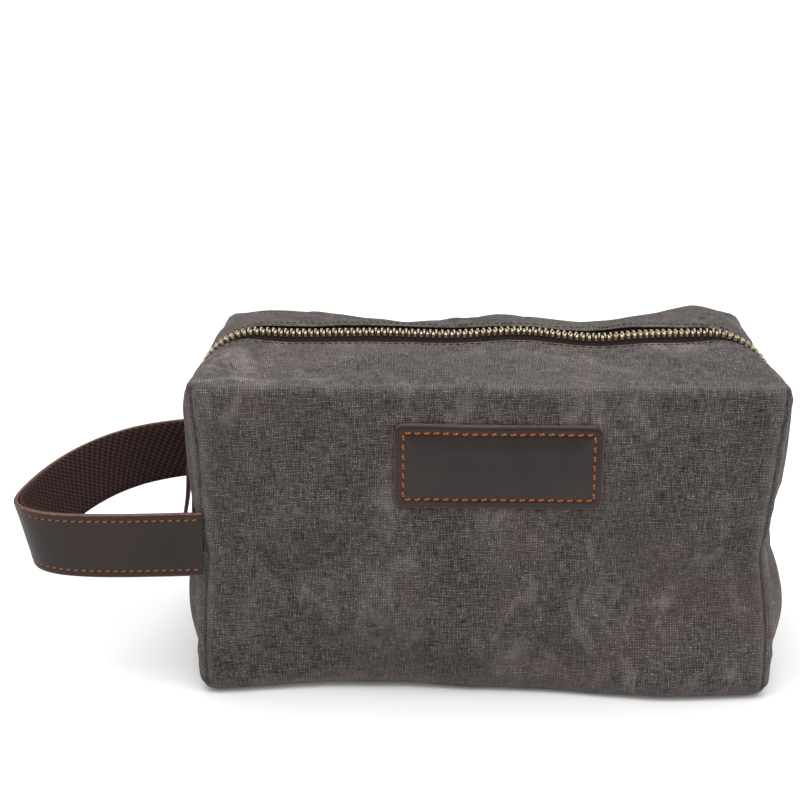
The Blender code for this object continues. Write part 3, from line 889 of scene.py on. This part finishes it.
def tooth_template():
    """One tooth: a stem with a wider rounded end on the tape's side.

    Each row is the distance from the zip's middle, the half width and the half height, in millimetres.
    """
    shape = bmesh.new()
    rows = (
        (4.3, 0.50, 0.90),
        (3.8, 0.60, 1.15),
        (3.0, 0.58, 1.20),
        (2.4, 0.40, 1.15),
        (0.8, 0.38, 1.10),
        (-0.8, 0.36, 1.00),
        (-1.2, 0.26, 0.80),
    )
    rings = []
    for across, half_width, half_height in rows:
        ring = []
        for sx, sz in ((-1, -1), (1, -1), (1, 1), (-1, 1)):
            ring.append(shape.verts.new(0.001 * Vector((sx * half_width, across, sz * half_height))))
        rings.append(ring)
    for near, far in zip(rings, rings[1:]):
        for i in range(4):
            j = (i + 1) % 4
            shape.faces.new((near[i], near[j], far[j], far[i]))
    shape.faces.new(list(reversed(rings[0])))
    shape.faces.new(rings[-1])
    bmesh.ops.recalc_face_normals(shape, faces=shape.faces)
    bmesh.ops.bevel(shape, geom=shape.edges[:], offset=0.00012, segments=2, affect="EDGES", profile=0.6)
    shape.verts.ensure_lookup_table()
    points = np.array([v.co for v in shape.verts])
    faces = [[v.index for v in f.verts] for f in shape.faces]
    shape.free()
    return points, faces


TOOTH_POINTS, TOOTH_FACES = tooth_template()


def teeth_piece(name, side, low, high):
    """The teeth of one row whose middles lie from one place on the zip's line up to another."""
    phase = 0.0 if side > 0 else TOOTH_PITCH / 2
    points, faces = [], []
    for number in range(math.ceil((low - phase) / TOOTH_PITCH), math.ceil((high - phase) / TOOTH_PITCH)):
        s = number * TOOTH_PITCH + phase
        out = CHAIN_OUT * (1 - smooth_step(abs(s), LID_RUN, LID_RUN + 0.03))
        origin, along, sideways, normal = on_zip(s, 0.0, out)
        base = len(points)
        for x, y, z in TOOTH_POINTS:
            points.append(origin + along * x + sideways * (y * side) + normal * z)
        for face in TOOTH_FACES:
            turned = face if side > 0 else face[::-1]
            faces.append([base + i for i in turned])
    return make_mesh(name, points, faces, [BRASS])


TAPE_PROFILE = (
    (0.0012, 0.0001),
    (0.0032, -0.0003),
    (0.0046, -0.0010),
    (0.0062, -0.0017),
    (0.0080, -0.0021),
    (0.0120, -0.0022),
    (0.0160, -0.0024),
)


def tape_piece(name, side, low, high):
    """A strip of tape from under the canvas up to the teeth's roots."""
    stations = np.linspace(low, high, max(2, round((high - low) / TAPE_STATION)))
    points, faces, uvs = [], [], []
    for s in stations:
        for thickness in (0.0, -TAPE_THICKNESS):
            points += [on_zip(s, side * across, out + thickness)[0] for across, out in TAPE_PROFILE]
    width = len(TAPE_PROFILE)
    ring = list(range(width)) + list(range(2 * width - 1, width - 1, -1))
    for i, (s, s_next) in enumerate(zip(stations, stations[1:])):
        a, b = 2 * width * i, 2 * width * (i + 1)
        for here, there in zip(ring, ring[1:] + ring[:1]):
            faces.append([a + here, a + there, b + there, b + here])
            near, far = (TAPE_PROFILE[n % width][0] for n in (here, there))
            uvs += [(s, near), (s, far), (s_next, far), (s_next, near)]
    last = 2 * width * (len(stations) - 1)
    faces += [ring[::-1], [last + n for n in ring]]
    uvs += [(0.0, 0.0)] * (2 * len(ring))
    made = make_mesh(name, points, faces, [TAPE], None, uvs)
    face_outward(made)
    return made


STITCH_RINGS = 6
STITCH_SIDES = 6


def stitch(start, end, normal, radius, rise):
    """A thread stitch between two places: a plump strand that dives in at both ends."""
    along = (end - start) / np.linalg.norm(end - start)
    beside = np.cross(along, normal)
    points, faces, uvs = [], [], []
    for i in range(STITCH_RINGS):
        share = i / (STITCH_RINGS - 1)
        arch = math.sin(math.pi * share)
        centre = start + (end - start) * share + normal * (rise * arch - radius * 0.7 * (1 - arch))
        size = radius * (0.55 + 0.45 * arch)
        for j in range(STITCH_SIDES):
            angle = 2 * math.pi * j / STITCH_SIDES
            points.append(centre + size * (beside * math.cos(angle) + normal * 0.8 * math.sin(angle)))
    for i in range(STITCH_RINGS - 1):
        faces += ring_faces(STITCH_SIDES, i * STITCH_SIDES, (i + 1) * STITCH_SIDES)
        for j in range(STITCH_SIDES):
            for r, q in ((i, j), (i, j + 1), (i + 1, j + 1), (i + 1, j)):
                uvs.append((r * 4.0, 2 * math.pi * q / STITCH_SIDES))
    last = (STITCH_RINGS - 1) * STITCH_SIDES
    faces += [list(range(STITCH_SIDES))[::-1], list(range(last, last + STITCH_SIDES))]
    uvs += [(0.0, 0.0)] * (2 * STITCH_SIDES)
    return points, faces, uvs


def stitch_row(name, places, radius, material, share, rise=0.00015, slant=0.0):
    """Stitches along (point, normal) pairs, each reaching a share of the way to the next, at a slant."""
    points, faces, uvs = [], [], []
    for (here, normal), (there, _) in zip(places, places[1:]):
        here, there, normal = np.array(here), np.array(there), np.array(normal)
        gap = (there - here) * (1 - share) / 2
        lean = np.cross(normal, there - here) * slant
        made, more, coordinates = stitch(here + gap - lean, there - gap + lean, normal, radius, rise)
        base = len(points)
        points += made
        faces += [[base + i for i in face] for face in more]
        uvs += coordinates
    return make_mesh(name, points, faces, [material], None, uvs)


SURFACE = BVHTree.FromPolygons([tuple(p) for p in POINTS], [tuple(int(i) for i in f) for f in QUADS])


def drop_on_canvas(point, normal, out):
    """The place on the canvas nearest to a point, raised along the surface's normal."""
    place, surface_normal, _, _ = SURFACE.find_nearest(Vector(point))
    if surface_normal.dot(Vector(normal)) < 0:
        surface_normal = -surface_normal
    return np.array(place + surface_normal * out), np.array(surface_normal)


def hem_stitches(name, side, low, high):
    """The line of machine stitching beside the zip."""
    places = []
    for s in np.arange(low, high, HEM_STITCH_PITCH):
        point, _, _, normal = on_zip(s, side * HEM_STITCH_PLACE, 0.0)
        places.append(drop_on_canvas(point, normal, 0.0001))
    return stitch_row(name, places, HEM_THREAD, DARK_THREAD, 0.80)


ZIP_LAYERS = (
    (teeth_piece, "teeth", "antique_brass"),
    (tape_piece, "tape", "zip_tape"),
    (hem_stitches, "hem_stitches", "waxed_canvas"),
)


def make_zip_run(half, side, label, replaced, reach, bind):
    """Teeth, tape and hem stitching of one row between two places, each handed to bind; only the rows off the
    lid are bound to the bag.
    """
    for make, layer, slot in ZIP_LAYERS:
        piece = make(f"{layer}_{label}", side, *sorted(reach))
        if layer != "hem_stitches":
            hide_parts(f"{replaced}_{layer}")
        bind(piece)


def make_zip():
    foot = float(ZIP_RUN[-1]) - 0.002
    for half, side in (("front", -1), ("back", 1)):
        for end, sx in (("left", -1), ("right", 1)):
            lid = (0.0, sx * LID_RUN)
            make_zip_run(half, side, f"{half}_{end}", half, lid, lambda piece: bend_lid(piece))
            label = f"{end}_end_{half}"
            rest = (sx * LID_RUN, sx * foot)
            make_zip_run(half, side, label, label, rest, lambda piece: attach(piece, "bag"))


make_zip()

# Swept pieces -----------------------------------------------------------------------------------


def band_section(width, thickness, round_off, grooves=()):
    """Across and out coordinates round a flat band, with a mark where the face is an edge."""
    half, deep = width / 2, thickness / 2
    across = {-half + round_off, half - round_off, *(-g for g in grooves), *grooves}
    across |= {g + d for g in (*grooves, *(-g for g in grooves)) for d in (-0.0007, 0.0007)}
    across |= set(np.linspace(-half + 0.004, half - 0.004, 7)) if width > 0.012 else set()
    top = []
    for value in sorted(across):
        in_groove = any(abs(abs(value) - g) < 1e-7 for g in grooves)
        top.append((value, deep - (0.00022 if in_groove else 0.0)))
    edge = [(half - 0.3 * round_off, deep - 0.3 * round_off), (half, deep - round_off)]
    edge += [(half, -deep + round_off), (half - 0.3 * round_off, -deep + 0.3 * round_off)]
    low = [(value, -deep) for value in sorted(across, reverse=True)]
    far_edge = [(-a, -o) for a, o in edge]
    section = top + edge + low + far_edge
    first, second = len(top), len(top) + len(edge) + len(low)
    is_edge = [first - 1 <= i < first + len(edge) or i >= second - 1 for i in range(len(section))]
    return section, is_edge


def sweep(name, frames, section, is_edge, materials):
    """Sweep a closed section along frames of (point, across, out)."""
    centres = [np.array(point) for point, _, _ in frames]
    steps = [float(np.linalg.norm(b - a)) for a, b in zip(centres, centres[1:])]
    runs = np.concatenate([[0.0], np.cumsum(steps)])
    points, faces, indices, uvs = [], [], [], []
    count = len(section)
    for centre, (_, across, out) in zip(centres, frames):
        points += [centre + np.array(across) * a + np.array(out) * o for a, o in section]
    for i in range(len(frames) - 1):
        faces += ring_faces(count, i * count, (i + 1) * count)
        for j, (here, there) in enumerate(zip(section, section[1:] + section[:1])):
            indices.append(1 if is_edge[j] and len(materials) > 1 else 0)
            uvs += [(runs[i], here[0]), (runs[i], there[0]), (runs[i + 1], there[0]), (runs[i + 1], here[0])]
    faces += [list(range(count))[::-1], [(len(frames) - 1) * count + j for j in range(count)]]
    indices += [len(materials) - 1] * 2
    uvs += [(0.0, 0.0)] * (2 * count)
    made = make_mesh(name, points, faces, materials, indices, uvs)
    face_outward(made)
    made.data.set_sharp_from_angle(angle=math.radians(50))
    return made


# Handle -----------------------------------------------------------------------------------------

HANDLE_Z = (STRAP_LOW.z + STRAP_HIGH.z) / 2
HANDLE_WIDTH = STRAP_HIGH.z - STRAP_LOW.z
HANDLE_BEND = Vector((STRAP_LOW.x + 0.002, -0.046))


STRAP_ROOT_X = -0.1272
STRAP_FRONT = Vector((STRAP_ROOT_X, -0.0652))
STRAP_BACK = Vector((STRAP_ROOT_X, 0.0650))


def handle_frames():
    """Frames along the strap from the front seam round to the back one, leaning out as it goes."""
    far = HANDLE_BEND.x
    front_pulls = Vector((-0.168, -0.0690)), Vector((far, -0.0750))
    back_pulls = Vector((far, -0.008)), Vector((-0.192, 0.061))
    line = interpolate_bezier(STRAP_FRONT, *front_pulls, HANDLE_BEND, 40)
    line += interpolate_bezier(HANDLE_BEND, *back_pulls, STRAP_BACK, 60)[1:]
    frames = []
    for i, point in enumerate(line):
        along = Vector(line[min(i + 1, len(line) - 1)]) - Vector(line[max(i - 1, 0)])
        along = Vector((along.x, along.y, 0.0)).normalized()
        outward = Vector((-along.y, along.x, 0.0))
        share = i / (len(line) - 1)
        lean = math.radians(14) * hump(share, 0.42, 0.16) + math.radians(24) * hump(share, 0.68, 0.20)
        rise = 0.0010 * hump(share, 0.40, 0.12) + 0.0052 * smooth_step(share, 0.42, 0.85)
        up = Vector((0, 0, 1)) * math.cos(lean) + outward * math.sin(lean)
        out = outward * math.cos(lean) - Vector((0, 0, 1)) * math.sin(lean)
        frames.append((Vector((point[0], point[1], HANDLE_Z + rise)), up, out))
    return frames


def shifted(frames, distance):
    return [(point + out * distance, across, out) for point, across, out in frames]


def along_frames(frames, pitch, across, out_shift):
    """Places a pitch apart along the frames, to one side of the middle."""
    points = [np.array(p + a * across + o * out_shift) for p, a, o in frames]
    run = np.concatenate([[0], np.cumsum([np.linalg.norm(b - a) for a, b in zip(points, points[1:])])])
    places = []
    for s in np.arange(0.0015, run[-1], pitch):
        index = min(int(np.searchsorted(run, s)), len(points) - 1)
        share = (s - run[index - 1]) / (run[index] - run[index - 1])
        normal = np.array(frames[index][2])
        places.append((points[index - 1] * (1 - share) + points[index] * share, normal))
    return places


def hole_shade_marks(name, places, radius):
    """Small near-black discs, painted shade for the holes where the thread goes through."""
    sides = 8
    points, faces = [], []
    for here, normal in places:
        here, normal = np.array(here), np.array(normal)
        side = np.cross(normal, [0.3, 0.5, 0.81])
        side /= np.linalg.norm(side)
        other = np.cross(normal, side)
        base = len(points)
        points.append(here + normal * 0.00006)
        for j in range(sides):
            angle = 2 * math.pi * j / sides
            rim = side * math.cos(angle) + other * math.sin(angle)
            points.append(here + normal * 0.00002 + radius * rim)
        faces += [[base, base + 1 + j, base + 1 + (j + 1) % sides] for j in range(sides)]
    return make_mesh(name, points, faces, [HOLE_SHADE])


def bend_handle(piece):
    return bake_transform(piece)


def make_handle():
    frames = handle_frames()
    row = HANDLE_WIDTH / 2 - 0.0032
    section, is_edge = band_section(HANDLE_WIDTH, STRAP_THICKNESS, 0.0007, (row,))
    strap = sweep("strap_leather", shifted(frames, 0.0012), section, is_edge, [LEATHER, EDGE])
    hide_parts("handle_strap")
    bend_handle(strap)
    section, is_edge = band_section(HANDLE_WIDTH - 0.0012, WEBBING_THICKNESS, 0.0006)
    webbing = sweep("strap_webbing", shifted(frames, -0.0010), section, is_edge, [WEBBING])
    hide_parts("handle_webbing")
    bend_handle(webbing)
    for label, across in (("upper", row), ("lower", -row)):
        places = along_frames(frames, STRAP_STITCH_PITCH, across, 0.0021)
        name = f"strap_stitches_{label}"
        stitches = stitch_row(name, places, STRAP_THREAD, ORANGE_THREAD, 0.82, slant=0.10)
        bend_handle(stitches)
        # Painted shade for the needle holes beside the strap's stitches.
        bend_handle(hole_shade_marks(f"strap_hole_shade_{label}", places, 0.00066))


make_handle()

# Patch ------------------------------------------------------------------------------------------

PATCH_X = (PATCH_LOW.x + PATCH_HIGH.x) / 2
PATCH_Z = (PATCH_LOW.z + PATCH_HIGH.z) / 2
PATCH_HALF = ((PATCH_HIGH.x - PATCH_LOW.x) / 2, (PATCH_HIGH.z - PATCH_LOW.z) / 2)


def on_front(x, z, out):
    """A place on the front wall under a point, raised off the canvas."""
    here = soft_point(x, -HALF_DEPTH, z)
    right = soft_point(x + 0.004, -HALF_DEPTH, z)
    up = soft_point(x, -HALF_DEPTH, z + 0.004)
    normal = (right - here).cross(up - here).normalized()
    return here + normal * out, normal


def patch_loop(inset):
    """A rounded rectangle inset from the patch's edge, with points along its straight sides too."""
    radius = max(PATCH_CORNER - inset, 0.0004)
    reach = [half - inset - radius for half in PATCH_HALF]
    corners = ((1, 1), (-1, 1), (-1, -1), (1, -1))
    arc_steps = 7
    loop = []
    for quarter, (sx, sz) in enumerate(corners):
        for step in range(arc_steps + 1):
            angle = math.radians(90 * quarter + 90 * step / arc_steps)
            loop.append((sx * reach[0] + radius * math.cos(angle), sz * reach[1] + radius * math.sin(angle)))
        nx, nz = corners[(quarter + 1) % 4]
        angle = math.radians(90 * quarter + 90)
        start = loop[-1]
        end = (nx * reach[0] + radius * math.cos(angle), nz * reach[1] + radius * math.sin(angle))
        divisions = 22 if quarter % 2 == 0 else 9
        for n in range(1, divisions):
            share = n / divisions
            loop.append((start[0] + (end[0] - start[0]) * share, start[1] + (end[1] - start[1]) * share))
    return loop


def patch_height(inset):
    """The patch's surface above the canvas at a distance from its edge."""
    shoulder = PATCH_THICKNESS - 0.0007 * (1 - smooth_step(inset, 0.0, 0.0014))
    channel = 0.00030 * hump(inset, STITCH_INSET, 0.0006)
    pillow = 0.0005 * smooth_step(inset, 0.005, 0.012)
    return shoulder - channel + pillow


EDGE_INSETS = (0.0, 0.0002, 0.0004, 0.0009, 0.0014)
CHANNEL_INSETS = (0.0024, 0.0032, 0.0036, 0.0040, 0.0044, 0.0048)
FACE_INSETS = (0.006, 0.008, 0.0105, 0.013, 0.0155, 0.0178)


def make_patch():
    insets = EDGE_INSETS + CHANNEL_INSETS + FACE_INSETS
    rings = [(0.0, -0.0004)] + [(inset, patch_height(inset)) for inset in insets]
    points = []
    for inset, out in rings:
        points += [on_front(PATCH_X + x, PATCH_Z + z, out)[0] for x, z in patch_loop(inset)]
    count = len(points) // len(rings)
    faces, indices = [], []
    for i in range(len(rings) - 1):
        faces += ring_faces(count, i * count, (i + 1) * count)
        indices += [1 if i < 3 else 0] * count
    faces += [[(len(rings) - 1) * count + j for j in range(count)], list(range(count))[::-1]]
    indices += [0, 1]
    patch = make_mesh("patch", points, faces, [PATCH_LEATHER, EDGE], indices)
    face_outward(patch)
    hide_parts("leather_patch")
    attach(patch, "bag")


def stitch_patch():
    """A row of stitches along each side of the patch."""
    x, z = (half - STITCH_INSET for half in PATCH_HALF)
    sides = {
        "top": ((-x, z), (x, z)),
        "right": ((x, z), (x, -z)),
        "base": ((x, -z), (-x, -z)),
        "left": ((-x, -z), (-x, z)),
    }
    for number, (label, (start, end)) in enumerate(sides.items()):
        count = round(math.dist(start, end) / PATCH_STITCH_PITCH)
        places = []
        for n in range(count + 1):
            here_x = start[0] + (end[0] - start[0]) * n / count
            here_z = start[1] + (end[1] - start[1]) * n / count + 0.00012 * math.sin(5.1 * n + number)
            places.append(on_front(PATCH_X + here_x, PATCH_Z + here_z, patch_height(STITCH_INSET)))
        name = f"patch_stitches_{label}"
        row = stitch_row(name, places, PATCH_THREAD, ORANGE_THREAD, 0.88, 0.00026, 0.08)
        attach(row, "bag")
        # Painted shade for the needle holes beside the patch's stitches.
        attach(hole_shade_marks(f"patch_hole_shade_{label}", places, 0.00082), "bag")


make_patch()
stitch_patch()

# Slider, ring and leather pull ------------------------------------------------------------------

SLIDER_Z = (SLIDER_LOW.z + SLIDER_HIGH.z) / 2
FACE_X = -(HALF_LENGTH + END_BULGE)
RING_X = (RING_LOW.x + RING_HIGH.x) / 2


def plate(name, outline, low_x, high_x, bevel):
    """A bevelled plate whose outline lies in Y and Z."""
    shape = bmesh.new()
    ring = [shape.verts.new((low_x, y, z)) for y, z in outline]
    moved = bmesh.ops.extrude_face_region(shape, geom=[shape.faces.new(ring)])["geom"]
    far_points = [v for v in moved if isinstance(v, bmesh.types.BMVert)]
    bmesh.ops.translate(shape, vec=(high_x - low_x, 0, 0), verts=far_points)
    bmesh.ops.recalc_face_normals(shape, faces=shape.faces)
    rims = [e for e in shape.edges if abs(e.verts[0].co.x - e.verts[1].co.x) < 1e-7]
    bmesh.ops.bevel(shape, geom=rims, offset=bevel, segments=3, affect="EDGES", profile=0.6)
    mesh = bpy.data.meshes.new(name)
    shape.to_mesh(mesh)
    shape.free()
    mesh.materials.append(BRASS)
    mesh.polygons.foreach_set("use_smooth", np.full(len(mesh.polygons), True))
    mesh.set_sharp_from_angle(angle=math.radians(40))
    return link(name, mesh)


def wing_outline(half_width, low, high):
    """Wide at the foot, where the rows part, and tapering to the tail."""
    steps = 32
    points = []
    for step in range(steps + 1):
        angle = math.pi * step / steps
        climb = 0.5 - 0.5 * math.cos(angle)
        y = half_width * (1 - 0.32 * climb) * math.sin(angle) ** 0.35
        points.append((y, low + (high - low) * climb))
    return points + [(-y, z) for y, z in reversed(points[1:-1])]


def wire(name, path, radius, cyclic=False, flat=1.0):
    """A round or flattened wire along a path."""
    around = 12
    points, faces = [], []
    count = len(path)
    for i, here in enumerate(path):
        ahead = path[(i + 1) % count] if cyclic or i < count - 1 else here
        behind = path[i - 1] if cyclic or i > 0 else here
        along = (Vector(ahead) - Vector(behind)).normalized()
        guide = Vector((0.0, 1.0, 0.0)) if abs(along.y) < 0.9 else Vector((1.0, 0.0, 0.0))
        beside = along.cross(guide).normalized()
        other = along.cross(beside).normalized()
        for j in range(around):
            angle = 2 * math.pi * j / around
            points.append(Vector(here) + radius * (beside * math.cos(angle) + other * flat * math.sin(angle)))
    for i in range(count if cyclic else count - 1):
        faces += ring_faces(around, i * around, (i + 1) % count * around)
    if not cyclic:
        faces += [list(range(around))[::-1], [(count - 1) * around + j for j in range(around)]]
    return make_mesh(name, points, faces, [BRASS])


def make_slider():
    outer_low = FACE_X - 0.0020
    low, high = SLIDER_LOW.z, SLIDER_HIGH.z
    wing = plate("slider_wing", wing_outline(0.0056, low, high), outer_low, FACE_X - 0.0006, 0.00035)
    inner = wing_outline(0.0052, low, high)
    back = plate("slider_back_wing", inner, FACE_X + 0.0040, FACE_X + 0.0052, 0.0003)
    web = [(-0.0006, low + 0.001), (0.0006, low + 0.001), (0.0006, SLIDER_Z), (-0.0006, SLIDER_Z)]
    post = plate("slider_post", web, FACE_X - 0.0008, FACE_X + 0.0042, 0.0001)
    bail_path = []
    for step in range(17):
        angle = math.radians(90 + 180 * step / 16)
        x = outer_low - 0.0004 + 0.0032 * math.cos(angle)
        bail_path.append((x, 0.0, SLIDER_Z + 0.0044 * math.sin(angle)))
    bail = wire("slider_bail", bail_path, BAIL_WIRE, flat=2.2)
    for piece in (wing, back, post, bail):
        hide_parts("slider")
        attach(piece, "slider_body")


def ring_path():
    """A rounded oblong of wire hanging from the bail, wider at its foot."""
    top, foot = RING_HIGH.z - 0.0006, RING_LOW.z + 0.0006
    middle, half_height = (top + foot) / 2, (top - foot) / 2
    path = []
    for step in range(48):
        angle = 2 * math.pi * step / 48
        c, s = math.cos(angle), math.sin(angle)
        y = math.copysign(abs(c) ** 0.45, c) * 0.0053 * (1 - 0.22 * (0.5 + 0.5 * s))
        z = math.copysign(abs(s) ** 0.45, s) * half_height
        path.append((RING_X, y, middle + z))
    return path


def make_ring():
    ring = wire("ring_wire", ring_path(), RING_WIRE, cyclic=True)
    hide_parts("pull_ring")
    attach(ring, "ring")


def make_pull():
    """A strip folded over the ring's lower bar; the outer leaf hangs clear of the inner one."""
    bar = Vector((RING_X, 0.0, RING_LOW.z + 0.0006))
    reach = 0.0016
    line = []
    foot = PULL_LOW.z + 0.0006
    for share in np.linspace(0, 1, 14):
        z = foot + (bar.z - foot) * share
        hang = 0.0052 * (1 - share) ** 1.3 * (0.6 + 0.4 * math.cos(3 * share))
        line.append(Vector((bar.x - reach - hang, 0.0, z)))
    for step in range(1, 9):
        angle = math.radians(180 - 180 * step / 9)
        line.append(bar + Vector((reach * math.cos(angle), 0.0, reach * math.sin(angle))))
    for share in np.linspace(0, 1, 14):
        z = bar.z + (foot + 0.003 - bar.z) * share
        line.append(Vector((bar.x + reach - 0.0014 * math.sin(math.pi * share * 0.5), 0.0, z)))
    frames = []
    for i, point in enumerate(line):
        along = (line[min(i + 1, len(line) - 1)] - line[max(i - 1, 0)]).normalized()
        out = Vector((-along.z, 0.0, along.x))
        frames.append((point, Vector((0.0, 1.0, 0.0)), out))
    section, is_edge = band_section(PULL_WIDTH, PULL_THICKNESS, 0.0004)
    pull = sweep("pull_leather", frames, section, is_edge, [LEATHER, EDGE])
    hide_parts("leather_pull")
    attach(pull, "pull")


make_slider()
make_ring()
make_pull()


def finish_stops():
    """The two stops keep their CAD shape and take the brass."""
    for name in ("left_stop", "right_stop"):
        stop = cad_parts[name]
        stop.data.materials.clear()
        stop.data.materials.append(BRASS)


finish_stops()

# Floor, light and camera ------------------------------------------------------------------------


def make_stage():
    floor_mesh = bpy.data.meshes.new("floor")
    shape = bmesh.new()
    bmesh.ops.create_grid(shape, x_segments=2, y_segments=2, size=6.0)
    shape.to_mesh(floor_mesh)
    shape.free()
    pale = {"Roughness": 0.9, "Base_Color": (0.68, 0.68, 0.68, 1.0), "Emission_Color": (1.0, 1.0, 1.0, 1.0)}
    floor_mesh.materials.append(new_material("pale_floor", Emission_Strength=0.10, **pale)[0])
    floor = link("floor", floor_mesh)
    floor.location.z = -0.0003
    world = bpy.data.worlds.new("studio")
    world.use_nodes = True
    tree = world.node_tree
    sky = node(tree, "ShaderNodeTexCoord").outputs["Generated"]
    height = maths(tree, "MAXIMUM", node(tree, "ShaderNodeSeparateXYZ", {0: sky}).outputs[2], 0.0)
    backdrop = tree.nodes["Background"]
    backdrop.inputs[0].default_value = (1.0, 1.0, 1.0, 1.0)
    tree.links.new(times(tree, maths(tree, "POWER", height, 1.9), 3.5), backdrop.inputs[1])
    bpy.context.scene.world = world
    bpy.context.scene.view_settings.view_transform = "Standard"


def add_light(name, place, target, size, power):
    data = bpy.data.lights.new(name, "AREA")
    data.shape = "RECTANGLE"
    data.size, data.size_y = size
    data.energy = power
    light = link(name, data)
    light.location = place
    light.rotation_euler = (Vector(target) - Vector(place)).to_track_quat("-Z", "Y").to_euler()


def make_camera():
    data = bpy.data.cameras.new("camera")
    data.sensor_width = 36.0
    data.lens = 78.84
    camera = link("camera", data)
    camera.location = (-0.022, -0.802, 0.351)
    camera.rotation_euler = (math.radians(90 - 16.08), 0.0, math.radians(1.28))
    bpy.context.scene.camera = camera


make_stage()
add_light("key", (-0.3, -0.55, 1.6), (0.0, 0.0, 0.08), (1.0, 1.0), 3.0)
add_light("right_strip", (1.0, -0.7, 0.35), (0.05, -0.06, 0.1), (0.3, 0.9), 2.0)
make_camera()
